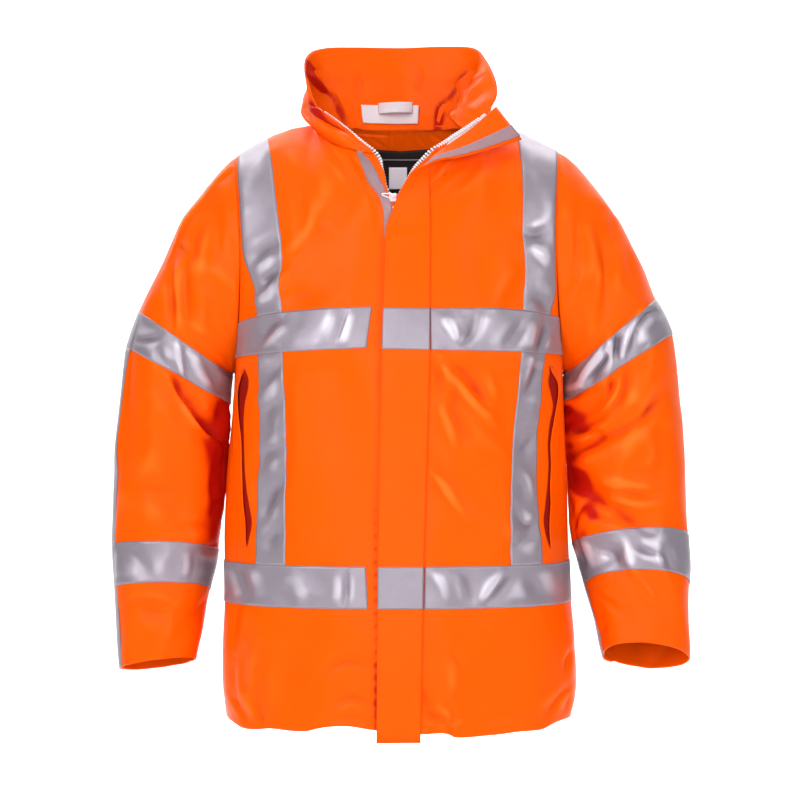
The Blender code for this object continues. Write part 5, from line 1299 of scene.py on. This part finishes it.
FLAP_ACROSS = 25
FLAP_LEVELS = 60
flap_share = np.linspace(0, 1, FLAP_ACROSS)
left = fronts[1][0]
rows = []
for line in left:
    z = line[0, 2]
    if z > FLAP_TOP["free_z"][0] - 0.008:
        break
    free = np.interp(z, FLAP_FREE["z"], FLAP_FREE["x"])
    stitch = np.interp(z, FLAP_STITCH["z"], FLAP_STITCH["x"])
    x = free + (stitch - free) * flap_share
    lift = FLAP_LIFT[0] + (FLAP_LIFT[1] - FLAP_LIFT[0]) * flap_share
    y = np.interp(x, line[:, 0], line[:, 1]) - lift
    rows.append(np.stack([x, y, np.interp(x, line[:, 0], line[:, 2])], axis=-1))
rows[0][:, 2] = FLAP_FOOT_Z
knots = np.arange(len(FLAP_TOP["free_x"]), dtype=float)
level = np.linspace(0, knots[-1], FLAP_LEVELS)
free, inner_edge = (smooth_points(level, knots, FLAP_TOP, part) for part in ("free", "inner"))
share = flap_share[:, None]
rows += [a * (1 - share) + b * share for a, b in zip(free, inner_edge)]
flap = np.array(rows)
flap_normal = normals(flap, False)
flap_uv = cloth_map(flap)
cloth("storm_flap", flap, False, ORANGE, WALL, outward=True, uv=flap_uv)
flap_out = (flap + flap_normal * WALL, flap_normal, flap_uv, None)
left_rows = fronts[1][3]
for name in ("chest_tape", "hem_tape"):
    taped(f"{name}_flap", flap_out, left_rows[name], (0, FLAP_ACROSS - 1), False)


# --- Hook and loop strips -------------------------------------------------------------------------
# Woven nylon strips with a stiff nap: hooks beside the zip on the right front, loops inside the
# turned flap, each sewn on round its edge.

HOOK = 0.0012
HOOK_FROM = 3 / 7  # how far up between the chest tape and the neckline the hook strip starts
FLAP_STRIP = {"level": 7, "columns": (2, 10)}

rows = fronts[-1][3]
chest, top = rows["chest_tape"][1], rows["top"]
hook_rows = (chest + round((top - chest) * HOOK_FROM), top)
taped("hook_strip_front", fronts[-1], hook_rows, rows["hook"], True, look=MAUVE,
      thickness=HOOK)
turned = len(flap) - int((level >= FLAP_STRIP["level"]).sum())
first, last = FLAP_STRIP["columns"]
under = (flap - flap_normal * TAPE_LIFT)[turned:, first:last + 1]
cloth("hook_strip_flap", under, False, MAUVE, HOOK)


# --- Pockets --------------------------------------------------------------------------------------
# A slanted slit in each front with a welt of the shell cloth along its outer side. The mouth gapes
# near the top and near the foot, where a strip of deep red is painted shade for the dark pocket within.

# The mouth's two edges, as distances from the middle of the parka: the welt's edge and the front's.
MOUTH = {
    -1: sizes("z welt body", (
        (-514, 185.2, 185), (-503, 184.8, 182.2), (-486, 185, 179.4), (-466, 187.4, 182.4),
        (-444, 189, 186.2), (-420, 190.2, 188.6), (-385, 191.6, 190), (-360, 194.4, 190.6),
        (-340, 195.6, 188.8), (-322, 194.8, 184.6), (-310, 191.2, 184.8), (-301, 189.2, 189),
    )),
    1: sizes("z welt body", (
        (-516, 181.8, 181.6), (-505, 179.8, 177.6), (-486, 179, 174), (-464, 180.6, 176.2),
        (-444, 180.6, 178.6), (-416, 181.8, 180.4), (-388, 181.2, 179.6), (-364, 185, 182.4),
        (-345, 188.6, 186.2), (-330, 190.4, 183.4), (-316, 189.6, 180), (-304, 183, 181.6),
        (-297, 181.4, 181.2),
    )),
}
# The welt's outer edge.
WELT_OUTER = {
    -1: sizes("z x", ((-514, 190.5), (-440, 200), (-370, 204), (-330, 202.5), (-301, 191.5))),
    1: sizes("z x", ((-516, 185), (-440, 189), (-370, 194), (-330, 194.5), (-297, 185))),
}
WELT = 0.0012
WELT_LIFT = {"seam": 0.0006, "mouth": 0.0026}
MOUTH_LIFT = 0.0004
MOUTH_UNDER = {"body": 0.0006, "welt": 0.0012}  # how far the painted-shade strip goes on under each edge
MOUTH_ENDS = 0.006  # how far from each end, and over what gap, the welt stands up in full
# The pocket's inside as painted shade: the shell's orange darkened to a dark, dull red.
POCKET_SHADE = woven(material("pocket_painted_shade", "#a3140a", 0.6, Specular_IOR_Level=0.1), YARN, 0.000012,
                      0.00005, 0.006, mottle=0.03, second="#7c0d08")


def on_front(side, x, z):
    """Points of a front's surface at distances x from the middle and heights z, one row of the
    front's grid blended with the next."""
    grid = fronts[side][0]
    below = grid[:fronts[side][3]["armpit"] + 12]
    height = below[:, :, 2].mean(axis=1)
    found = []
    for level_z, across in zip(z, x):
        row = int(np.clip(np.searchsorted(height, level_z) - 1, 0, len(below) - 2))
        share = np.clip((level_z - height[row]) / (height[row + 1] - height[row]), 0, 1)
        deep = [np.interp(across, side * line[:, 0], line[:, 1]) for line in below[row:row + 2]]
        found.append(np.stack([side * across, deep[0] * (1 - share) + deep[1] * share,
                               np.full(len(across), level_z)], axis=-1))
    return np.array(found)


def between(side, z, start, end, count):
    """A strip of a front's surface between two upright edges, with that many columns."""
    share = np.linspace(0, 1, count)[None]
    return on_front(side, start[:, None] * (1 - share) + end[:, None] * share, z)


for side, word in SIDES.items():
    flip = side < 0
    mouth, outer_edge = MOUTH[side], WELT_OUTER[side]
    z = np.linspace(mouth["z"][0], mouth["z"][-1], 90)
    lip, body_edge = smooth(z, mouth["z"], mouth["welt"]), smooth(z, mouth["z"], mouth["body"])
    open_by = np.clip((lip - body_edge) / MOUTH_ENDS, 0, 1)
    mouth_shade_grid = between(side, z, body_edge - MOUTH_UNDER["body"], lip + MOUTH_UNDER["welt"], 7)
    mouth_shade_grid += normals(mouth_shade_grid, flip) * MOUTH_LIFT
    cloth(f"pocket_mouth_{word}", mouth_shade_grid, flip, POCKET_SHADE, 0.0003, outward=True,
          replaces=())
    welt = between(side, z, lip, smooth(z, outer_edge["z"], outer_edge["x"]), 14)
    share = np.linspace(0, 1, 14)[None]
    proud = WELT_LIFT["seam"] + (WELT_LIFT["mouth"] - WELT_LIFT["seam"]) * (1 - share) ** 2 * (
        0.35 + 0.65 * open_by[:, None])
    ends = np.clip(np.minimum(z - z[0], z[-1] - z) / MOUTH_ENDS, 0, 1)[:, None]
    welt += normals(welt, flip) * (proud * ends)[..., None]
    cloth(f"pocket_welt_{word}", welt, flip, ORANGE, WELT, outward=True)


# --- Zip ------------------------------------------------------------------------------------------
# A moulded plastic zip, sewn into both edges and open from the slider up to the collar. Its teeth
# are blocks with a wider head, set half a pitch apart on the two sides, and its woven tape ends
# square past the last.

ZIP_FOOT_Z = -0.712
ZIP_SET_BACK = 0.0020
ZIP_OFF_EDGE = 0.0025
ZIP_COLLAR = 0.1333  # how far along the collar the zip runs
ZIP_COLLAR_POINTS = 60
# Where the fronts' edges hide the teeth: height, half height and how far in they go.
ZIP_TUCK = {-1: (-0.070, 0.018, 0.0054), 1: (-0.079, 0.020, 0.0060)}
TOOTH_PITCH = 0.0039
TOOTH_OUTLINE = np.array([(-0.9, -2.6), (0.9, -2.6), (0.75, -0.2), (1.35, 0.7), (1.25, 2.2), (0.5, 2.7),
                          (-0.5, 2.7), (-1.25, 2.2), (-1.35, 0.7), (-0.75, -0.2)]) * MM
TOOTH_LAYERS = ((-1.4, 0.78), (-1.0, 1.0), (1.0, 1.0), (1.4, 0.78))  # height in mm and scale
ZIP_TAPE = {"from": -0.0015, "to": -0.0062, "past": 0.0070, "behind": 0.0008, "thick": 0.0005}
ZIP_END_SHOW = {"out": 0.0036, "away": 0.0026, "teeth": 2.3}  # how the tape's square end stands clear
ZIP_OVER_COLLAR = {"up": 0.0014, "out": 0.0034}  # along the collar the teeth stand over its edge
# Moulded acetal: white, with a soft highlight on each tooth and a slightly uneven face.
ZIP_WHITE = material("white_plastic", "#ece7e9", 0.32, Specular_IOR_Level=0.5)
# Herringbone polyester tape: a matt white, a little greyer than the teeth.
TAPE_WHITE = woven(material("white_tape", "#e4dbe0", 0.8), 0.0006, 0.00004, 0.00005, 0.003, mottle=0.004,
                   second="#d2c5cd")

tree = ZIP_WHITE.node_tree
coords = node(tree, "ShaderNodeTexCoord").outputs["Object"]
grain = node(tree, "ShaderNodeTexNoise", Vector=coords, Scale=1 / 0.0012, Detail=3.0)
high = node(tree, "ShaderNodeMath", operation="MULTIPLY", i0=grain, i1=0.00003)
bump = node(tree, "ShaderNodeBump", Height=high, Strength=1.0, Distance=1.0)
tree.links.new(bump.outputs[0], tree.nodes["Principled BSDF"].inputs["Normal"])


def unit(vectors):
    """Vectors brought to length 1."""
    return vectors / np.maximum(np.linalg.norm(vectors, axis=-1, keepdims=True), 1e-12)


def evened(points, passes):
    """A line with each point moved, again and again, halfway to the mean of its two neighbours."""
    for _ in range(passes):
        points[1:-1] = (points[:-2] + 2 * points[1:-1] + points[2:]) / 4
    return points


def zip_line(side):
    """The teeth's middle line up a front's edge and along the collar's, with the ways along,
    towards the teeth and outwards at each point."""
    grid, normal = fronts[side][:2]
    ends = np.linspace(0, ZIP_COLLAR, ZIP_COLLAR_POINTS)
    ends = ends if side < 0 else 1 - ends
    top_edge = collar_grid(ends, np.array([0.0, 0.85, 1.0]), 0.0005)
    front_rows = slice(0, len(grid) - 2)
    line, beside = (np.concatenate([edge[front_rows], top_row])
                    for edge, top_row in zip(zip_edges[side], (top_edge[-1], top_edge[-2])))
    out = np.concatenate([normal[front_rows, 0], normals(top_edge, side < 0)[-1]])
    out, away = (unit(evened(unit(ways), 30)) for ways in (out, line - beside))
    line = evened(line, 12)
    steps = path_length(line)
    height, half, inward = ZIP_TUCK[side]
    tuck = np.exp(-(((line[:, 2] - height) / half) ** 4)) * inward
    over = np.clip((np.arange(len(line)) - (len(line) - ZIP_COLLAR_POINTS)) / 25, 0, 1)
    line = (line + away * (ZIP_OFF_EDGE - tuck + over * ZIP_OVER_COLLAR["up"])[:, None]
            - out * (ZIP_SET_BACK + 0.4 * tuck - over * ZIP_OVER_COLLAR["out"])[:, None])
    keep = line[:, 2] >= ZIP_FOOT_Z
    line, away, out, steps = line[keep], away[keep], out[keep], steps[keep]
    start = 0.0 if side < 0 else 0.5 * TOOTH_PITCH
    at = np.arange(steps[0] + start, steps[-1], TOOTH_PITCH)
    line, away, out = (points_at(at, steps, values) for values in (line, away, out))
    way = unit(np.gradient(line, axis=0))
    away = unit(away - (away * way).sum(axis=1, keepdims=True) * way)
    turned_out = np.cross(way, away)
    turned_out *= np.sign((turned_out * out).sum(axis=1, keepdims=True))
    return line, way, away, turned_out


def solid_mesh(name, points, faces, look):
    """One smooth-shaded mesh object from arrays of points and lists of faces."""
    mesh = bpy.data.meshes.new(name)
    mesh.from_pydata(points.reshape(-1, 3).tolist(), [], faces)
    mesh.materials.append(look)
    mesh.shade_smooth()
    made = bpy.data.objects.new(name, mesh)
    bpy.context.scene.collection.objects.link(made)
    return made


def ring_faces(around, rings, closed=False):
    """Quads from each ring of points to the next, with end faces unless the last ring joins the first."""
    faces = [(i + k * around, (i + 1) % around + k * around,
              (i + 1) % around + (k + 1) % rings * around, i + (k + 1) % rings * around)
             for k in range(rings if closed else rings - 1) for i in range(around)]
    ends = [tuple(reversed(range(around))), tuple(range((rings - 1) * around, rings * around))]
    return faces if closed else faces + ends


def prisms(name, outline, layers, places, frames, look):
    """Copies of a prism, one at each place, on its own three ways. Its layers are (height, scale)."""
    shape = np.array([(x * scale, y * scale, height) for height, scale in layers for x, y in outline])
    points = places[:, None] + np.einsum("pk,nkj->npj", shape, np.stack(frames, axis=1))
    one = ring_faces(len(outline), len(layers))
    faces = [tuple(index + start for index in face)
             for start in range(0, len(places) * len(shape), len(shape)) for face in one]
    return solid_mesh(name, points, faces, look)


for side, word in SIDES.items():
    line, way, away, out = zip_line(side)
    handed = way if np.dot(np.cross(way[0], away[0]), out[0]) > 0 else -way
    layers = [(height * MM, scale) for height, scale in TOOTH_LAYERS]
    teeth = prisms(f"zip_teeth_{word}", TOOTH_OUTLINE, layers, line[:-1],
                   (handed[:-1], away[:-1], out[:-1]), ZIP_WHITE)
    teeth.data.shade_flat()
    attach(teeth, BODY_NAME)
    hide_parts(f"zip_{word}")
    end = line[-1] + way[-1] * ZIP_TAPE["past"]
    points = np.concatenate([line, end[None]])
    aways, outs = (np.concatenate([vectors, vectors[-1:]]) for vectors in (away, out))
    across = np.linspace(ZIP_TAPE["from"], ZIP_TAPE["to"], 5)
    strip = points[:, None] + aways[:, None] * across[None, :, None]
    show = np.exp(-((np.arange(len(points))[::-1] / ZIP_END_SHOW["teeth"]) ** 4))[:, None, None]
    strip = (strip + outs[:, None] * (ZIP_END_SHOW["out"] * show - ZIP_TAPE["behind"])
             + aways[:, None] * ZIP_END_SHOW["away"] * show)
    cloth(f"zip_tape_{word}", strip, side < 0, TAPE_WHITE, ZIP_TAPE["thick"],
          replaces=())


# --- Slider and pull ------------------------------------------------------------------------------
# White moulded plastic: two shield-shaped plates on a post, a crown arched over the front one, and
# a loop of round wire that hangs from the crown and swings on it.

SLIDER = {"wide": 0.0094, "tall": 0.0105, "plate": 0.0012, "clear": 0.0021}
CROWN = {"half_span": 0.0030, "rise": 0.0029, "radius": 0.0006}
PULL = {"reach": 0.0130, "base": 0.0064, "tip_up": 0.0030, "wire": 0.0008, "stand": 0.0014}
joint = frame["joints"][0]
hinge = np.array(joint["pos_m"])
seat_z = unit(np.array(joint["axis"]))
seat_x = np.array([1.0, 0.0, 0.0])
seat_y = np.cross(seat_z, seat_x)
face_y = -(SLIDER["clear"] + SLIDER["plate"])
seat = hinge - seat_y * (face_y - PULL["stand"])


def seated(local):
    """From the slider's own axes, x across, y back and z up, to the parka's."""
    return seat + local @ np.stack([seat_x, seat_y, seat_z])


def tube_of(path, radius, sides=10, closed=False):
    """A tube's points and faces round a path: p + radius (n cos a + b sin a), n and b square to the
    path."""
    way = np.roll(path, -1, axis=0) - np.roll(path, 1, axis=0) if closed else np.gradient(path, axis=0)
    way = unit(way)
    side_way = unit(np.cross(way, [0.31, 0.52, 0.79]))
    other = np.cross(way, side_way)
    angle = np.linspace(0, 2 * math.pi, sides, endpoint=False)[None, :, None]
    points = path[:, None] + radius * (side_way[:, None] * np.cos(angle) + other[:, None] * np.sin(angle))
    return points.reshape(-1, 3), ring_faces(sides, len(path), closed)


half, tall = SLIDER["wide"] / 2, SLIDER["tall"] / 2
shield = np.array([(-0.62, -1.0), (0.62, -1.0), (0.85, -0.8), (0.95, 0.1), (1.0, 0.8), (0.85, 1.0),
                   (0.25, 1.0), (0.0, 0.82), (-0.25, 1.0), (-0.85, 1.0), (-1.0, 0.8), (-0.95, 0.1),
                   (-0.85, -0.8)]) * (half, tall)
post = np.array([(-0.9, -0.8), (0.9, -0.8), (0.9, 0.8), (-0.9, 0.8)]) * MM + (0.0004, 0.0038)
plate = SLIDER["plate"]
parts = []
for outline, low, high, bevel in ((shield, face_y, face_y + plate, 0.9),
                                  (shield, -face_y - plate, -face_y, 0.9),
                                  (post, face_y + plate / 2, -face_y - plate / 2, 1.0)):
    heights = ((low, bevel), (low + plate * 0.3, 1.0), (high - plate * 0.3, 1.0), (high, bevel))
    points = np.array([(x * s, y, z * s) for y, s in heights for x, z in outline])
    parts.append((points, ring_faces(len(outline), len(heights))))
arch = np.linspace(0, math.pi, 15)
crown_y = face_y + 0.0004 - CROWN["rise"] * np.sin(arch) ** 0.6
crown_path = np.stack([-CROWN["half_span"] * np.cos(arch), crown_y, np.zeros(15)], axis=-1)
parts.append(tube_of(crown_path, CROWN["radius"]))
points, faces, offset = [], [], 0
for some, quads in parts:
    points.append(some)
    faces += [tuple(index + offset for index in quad) for quad in quads]
    offset += len(some)
slider_body = solid_mesh("slider_body", seated(np.concatenate(points)), faces, ZIP_WHITE)
slider_body.data.shade_flat()
rounding = slider_body.modifiers.new("Rounded", "BEVEL")
rounding.width = 0.0002
rounding.segments = 2
rounding.limit_method = "ANGLE"
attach(slider_body, BODY_NAME)
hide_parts("slider")

reach, base, rise = PULL["reach"], PULL["base"] / 2, PULL["tip_up"]
corners = np.array([(0, 0, -base), (0, 0, base), (-reach * 0.90, 0, rise + 0.0012), (-reach, 0, rise),
                    (-reach * 0.92, 0, rise - 0.0014)]) + (0, face_y - PULL["stand"], 0)
for _ in range(4):
    after = np.roll(corners, -1, axis=0)
    corners = np.stack([corners * 0.8 + after * 0.2, corners * 0.2 + after * 0.8], axis=1).reshape(-1, 3)
points, faces = tube_of(seated(corners), PULL["wire"], closed=True)
pull = solid_mesh("zip_pull", points, faces, ZIP_WHITE)
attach(pull, "pull_tab")
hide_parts("pull_tab")


# --- Inside the neck ------------------------------------------------------------------------------
# A facing of shell cloth under the collar, pleated where it eases in, above a black taffeta lining
# with a line of piping. A size label hangs from it, and a wide label and a hanger ribbon are sewn
# into the collar.

LINER = 0.0008
FACING_LIFT = 0.0010
LINING_LIFT = 0.0004
FACING_TURN = 0.902  # how far round the armhole the facing and the lining start
LINING_TURN = 0.51
LINING_TOP = -0.0130
FACING_HALF = 18  # columns to either side of the middle
PIPING = {"z": -0.0276, "radius": 0.0008, "lift": 0.0014}
FACING_GRID = (30, 110)  # its rows and columns once refined for the pleats
PLEATS = creases_of((
    (-13, 12, -13, 0, -12, -14, 2, 1.4, 1.6, 0.4), (-64, 5, -40, 3, -14, 2, 1.8, 1.6, 1.6, 0.3),
    (-36, -2, -26, -8, -18, -14, 1.4, 2.4, 1.8), (18, 8, 22, 0, 34, -10, 1.6, 3, 1.8, 0.3),
    (40, 6, 48, -2, 56, -6, 1.4, 2.6, 1.8), (2, 6, 8, -2, 6, -12, 1, 3),
))
grid, normal, (u, v), rows = back
chest, top = rows["chest_tape"][1], rows["top"]
turn_rows = (top - chest) / (1 - BACK_TAPE[1])
centre = grid.shape[1] // 2
facing_from = top - round((1 - FACING_TURN) * turn_rows)
lining_from = top - round((1 - LINING_TURN) * turn_rows)
sides = slice(centre - FACING_HALF, centre + FACING_HALF + 1)
facing = (grid - normal * (WALL + FACING_LIFT))[facing_from:, sides]
for count in FACING_GRID[::-1]:
    at = np.linspace(0, facing.shape[1] - 1, count)
    facing = np.stack([points_at(at, np.arange(len(line)), line) for line in facing]).swapaxes(0, 1)
facing = creased(facing, -normals(facing, True), PLEATS)
up_collar = np.linspace(0.0012, 0.0050, 4)[:, None, None] * np.array([0.0, 0.12, 1.0])
facing = np.concatenate([facing, facing[-1:] + up_collar - 0.0003 * normals(facing, True)[-1:]])
cloth("neck_facing", facing, True, ORANGE, LINER)
across = slice(rows["uprights"]["right"][1], rows["uprights"]["left"][0] + 1)
lining_to = int(np.interp(LINING_TOP, grid[lining_from:, centre, 2], np.arange(lining_from, len(grid))))
lining = (grid - normal * (WALL + FACING_LIFT + LINER + LINING_LIFT))[lining_from:lining_to + 1, across]
cloth("lining_yoke", lining, True, LINING, LINER)
inner_face = (grid - normal * (WALL + FACING_LIFT + 2 * LINER + PIPING["lift"]))[lining_from:top, across]
piping_path = np.array([points_at(PIPING["z"], line[:, 2], line) for line in inner_face.swapaxes(0, 1)])
# Satin bias tape over a cord: mid grey with a faint gleam.
PIPING_LOOK = woven(material("grey_piping", "#9a9098", 0.6), 0.0006, 0.00003, 0.00003, 0.002)
points, faces = tube_of(piping_path, PIPING["radius"])
piping = solid_mesh("lining_piping", points, faces, PIPING_LOOK)
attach(piping, BODY_NAME)

SIZE_LABEL = {"x": (-0.0142, 0.0090), "z": (-0.064, -0.037)}
LABEL_OFF = 0.0046
LABEL = 0.0005
# Thin nylon label, left blank: the brightest white here, helped by a faint painted glow from its emission
# that lifts it out of the neck's shade.
GLOWING_LABEL = woven(material("label_painted_glow", "#f4ecf2", 0.6, Emission_Color=linear("#efe2ee"),
                            Emission_Strength=0.28), 0.0004, 0.00003, 0.00005, 0.004, mottle=0.006,
                   second="#ddd0da")
z = np.linspace(*SIZE_LABEL["z"], 16)[:, None]
x = np.linspace(*SIZE_LABEL["x"], 18)[None, :]
y = smooth(z, CENTRE_BACK["z"], CENTRE_BACK["y"]) - (WALL + LABEL_OFF)
y = y - 0.0012 * np.sin((x - SIZE_LABEL["x"][0]) * 180) * np.linspace(1, 0, 16)[:, None]
patch = np.stack(np.broadcast_arrays(x, y, z), axis=-1)
cloth("label_size", patch, True, GLOWING_LABEL, LABEL)

NECK_LABEL = {"along": (0.450, 0.525), "rows": (0.04, 0.28), "inward": 0.0042}
HANGER = {"along": (0.472, 0.517), "rows": (0.17, 0.31), "inward": 0.0054, "bow": 0.0110}
patch = collar_grid(np.linspace(*NECK_LABEL["along"], 40), np.linspace(*NECK_LABEL["rows"], 16),
                    inward=NECK_LABEL["inward"])
patch_uv = cloth_map(patch)
patch += normals(patch, True) * (0.0006 * waves(patch_uv[0] + patch_uv[1], 5, 0.03))[..., None]
cloth("label_neck", patch, True, LABEL_LOOK, LABEL)
bow = np.linspace(0, 1, 48)
loop = collar_grid(HANGER["along"][0] + (HANGER["along"][1] - HANGER["along"][0]) * bow,
                   np.linspace(*HANGER["rows"], 12), inward=HANGER["inward"])
loop[..., 1] -= HANGER["bow"] * np.sin(math.pi * bow) ** 0.7 * np.linspace(1.0, 0.86, 12)[:, None]
loop[..., 2] += 0.0016 * (bow - 0.5)[None]
# Grosgrain ribbon: pale grey, ribbed across, with white flecks.
RIBBON = woven(material("hanger_ribbon", "#cfc3cd", 0.5), 0.0009, 0.00010, 0.00004, 0.003, mottle=0.003,
               second="#eee6ec")
cloth("hanger_loop", loop, True, RIBBON, LINER)


# --- Sewing ---------------------------------------------------------------------------------------
# Lockstitch in polyester thread: grey along both edges of every tape, orange along the hem, cuffs,
# armholes, flap, zip edge and collar. Bar tacks close both ends of each pocket mouth.

STITCH = {"pitch": 0.0034, "long": 0.0027, "wide": 0.00042, "high": 0.00030}
STITCH_IN = 0.0022  # from a tape's edge
HEM_STITCH = 0.020
TAPE_TOP = 0.0009  # how far above a panel its tape's face lies
THREAD_LIFT = 0.0001  # how far above bare cloth its stitches lie
SEAM_COLUMNS = 3.2  # how far in from the armhole it is stitched, in columns
TACK = {"wide": 0.0024, "tall": 0.0012, "past": 0.0010, "out": 0.0016, "rows": 5, "points": 60}
# Twisted polyester, dyed to match what it holds: a fine sheen broken up by the twist.
ORANGE_THREAD = material("orange_thread", "#f2620f", 0.55)
GREY_THREAD = material("grey_thread", "#cfc8cd", 0.5)
for thread in (ORANGE_THREAD, GREY_THREAD):
    tree = thread.node_tree
    coords = node(tree, "ShaderNodeTexCoord").outputs["Object"]
    twist = node(tree, "ShaderNodeTexWave", Vector=coords, Scale=1 / 0.0008, Distortion=1.5)
    high = node(tree, "ShaderNodeMath", operation="MULTIPLY", i0=twist.outputs["Fac"], i1=0.00006)
    bump = node(tree, "ShaderNodeBump", Height=high, Strength=1.0, Distance=1.0)
    tree.links.new(bump.outputs[0], tree.nodes["Principled BSDF"].inputs["Normal"])


def inset(scale, index, way):
    """The index one stitch distance in from a row or column, on that grid's scale of metres at each
    index."""
    return float(np.interp(scale[index] + way * STITCH_IN, scale, np.arange(len(scale))))


def sewn(piece, row, column, lift):
    """A line of stitching on a panel: at a fractional row from one column to another, or the other
    way about. Points are blended from the four grid points round them."""
    grid, normal = piece[:2]
    count = 400
    r = np.linspace(*row, count) if isinstance(row, tuple) else np.full(count, float(row))
    c = np.linspace(*column, count) if isinstance(column, tuple) else np.full(count, float(column))
    r, c = np.clip(r, 0, len(grid) - 1.001), np.clip(c, 0, grid.shape[1] - 1.001)
    i, j = r.astype(int), c.astype(int)
    a, b = (r - i)[:, None], (c - j)[:, None]
    blend = [(1 - a) * (1 - b) * values[i, j] + a * (1 - b) * values[i + 1, j]
             + (1 - a) * b * values[i, j + 1] + a * b * values[i + 1, j + 1] for values in (grid, normal)]
    return blend[0] + blend[1] * lift, blend[1]


def stitching(name, lines, thread):
    """Stitches along lines of points and normals: each a spindle of six points, long in the line's
    way."""
    centres, ways, ups = [], [], []
    for points, up in lines:
        steps = path_length(points)
        if steps[-1] < STITCH["pitch"]:
            continue
        at = np.arange(STITCH["pitch"] / 2, steps[-1], STITCH["pitch"])
        centres.append(points_at(at, steps, points))
        ways.append(unit(points_at(at + 0.0005, steps, points) - points_at(at - 0.0005, steps, points)))
        ups.append(unit(points_at(at, steps, up)))
    centre, way, up = (np.concatenate(parts) for parts in (centres, ways, ups))
    across = unit(np.cross(way, up))
    half, wide, high = STITCH["long"] / 2, STITCH["wide"] / 2, STITCH["high"]
    shape = [centre - way * half - up * high * 0.5, centre + across * wide, centre + up * high,
             centre - across * wide, centre - up * high, centre + way * half - up * high * 0.5]
    points = np.stack(shape, axis=1)
    one = [(0, 2, 1), (0, 3, 2), (0, 4, 3), (0, 1, 4), (5, 1, 2), (5, 2, 3), (5, 3, 4), (5, 4, 1)]
    faces = (np.array(one)[None] + 6 * np.arange(len(points))[:, None, None]).reshape(-1, 3)
    made = solid_mesh(name, points, faces.tolist(), thread)
    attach(made, BODY_NAME)


grey, orange = [], []
panels = [(fronts[side], fronts[side][3]["first"], 0.5, [fronts[side][3]["upright"]]) for side in SIDES]
panels.append((back, 0.5, 1, list(back[3]["uprights"].values())))
for piece, first, hem_from, uprights in panels:
    grid, _, (u, v), rows = piece
    last = grid.shape[1] - 1
    up_scale = v[:, grid.shape[1] // 2]
    chest, hem, top = rows["chest_tape"], rows["hem_tape"], rows["top"]
    for index, inward in zip((*chest, *hem), (1, -1, 1, -1)):
        grey.append(sewn(piece, inset(up_scale, index, inward), (first, last - 0.5), TAPE_TOP))
    for low, high in ((hem[1], chest[0]), (chest[1], top)):
        for columns in uprights:
            for index, inward in zip(columns, (1, -1)):
                grey.append(sewn(piece, (low + 0.3, high - 0.3), inset(u[low], index, inward), TAPE_TOP))
    level = float(np.interp(HEM_STITCH, up_scale, np.arange(len(v))))
    orange.append(sewn(piece, level, (hem_from, last - 1), THREAD_LIFT))
    for edge in (last - SEAM_COLUMNS, *([SEAM_COLUMNS] if piece is back else [])):
        orange.append(sewn(piece, (rows["armpit"], top - 3), edge, THREAD_LIFT))
    if piece is not back:
        orange.append(sewn(piece, (3, top - 2), 2.2, THREAD_LIFT))
for side in SIDES:
    grid, normal, (u, v), info = sleeves[side]
    marks, tape_end = info["marks"], info["tape"]
    ring = (np.concatenate([grid, grid[:, :1]], axis=1), np.concatenate([normal, normal[:, :1]], axis=1))
    around = grid.shape[1]
    up_scale = v.mean(axis=1)
    for index, inward in zip(marks[1:5], (1, -1, 1, -1)):
        grey.append(sewn(ring, inset(up_scale, index, inward), (0, around), TAPE_TOP))
    for low, high in ((marks[2], marks[3]), (marks[4], len(grid) - 1)):
        for index, inward in ((0, 1), (tape_end, -1)):
            grey.append(sewn(ring, (low + 0.3, high - 0.3), inset(u[low], index, inward), TAPE_TOP))
    cuff = float(np.interp(up_scale[-1] - HEM_STITCH, up_scale, np.arange(len(grid))))
    orange.append(sewn(ring, cuff, (0, around), THREAD_LIFT))
orange.append(sewn(flap_out, (2, turned - 2), FLAP_ACROSS - 1.8, THREAD_LIFT))
orange.append(sewn(flap_out, (2, len(flap) - 2), 0.9, THREAD_LIFT))
up_scale = flap_uv[1][:, FLAP_ACROSS // 2]
for tape in ("chest_tape", "hem_tape"):
    for index, inward in zip(left_rows[tape], (1, -1)):
        grey.append(sewn(flap_out, inset(up_scale, index, inward), (0.5, FLAP_ACROSS - 1.5), TAPE_TOP))
collar_out = (outer, normals(outer, True))
for row in (1.6, 43.5):
    orange.append(sewn(collar_out, row, (2, 218), 0.0009))
for side in SIDES:
    mouth = MOUTH[side]
    for level, away in ((0, -1), (-1, 1)):
        z = mouth["z"][level] + away * TACK["past"]
        x = np.linspace(-TACK["wide"], TACK["wide"], TACK["points"])[None] + mouth["welt"][level]
        for shift in np.linspace(-TACK["tall"], TACK["tall"], TACK["rows"]):
            points = on_front(side, x, np.array([z + shift]))[0]
            points[:, 1] -= TACK["out"]
            orange.append((points, np.tile([0.0, -1.0, 0.0], (TACK["points"], 1))))
stitching("stitches_shell", orange, ORANGE_THREAD)
stitching("stitches_tape", grey, GREY_THREAD)
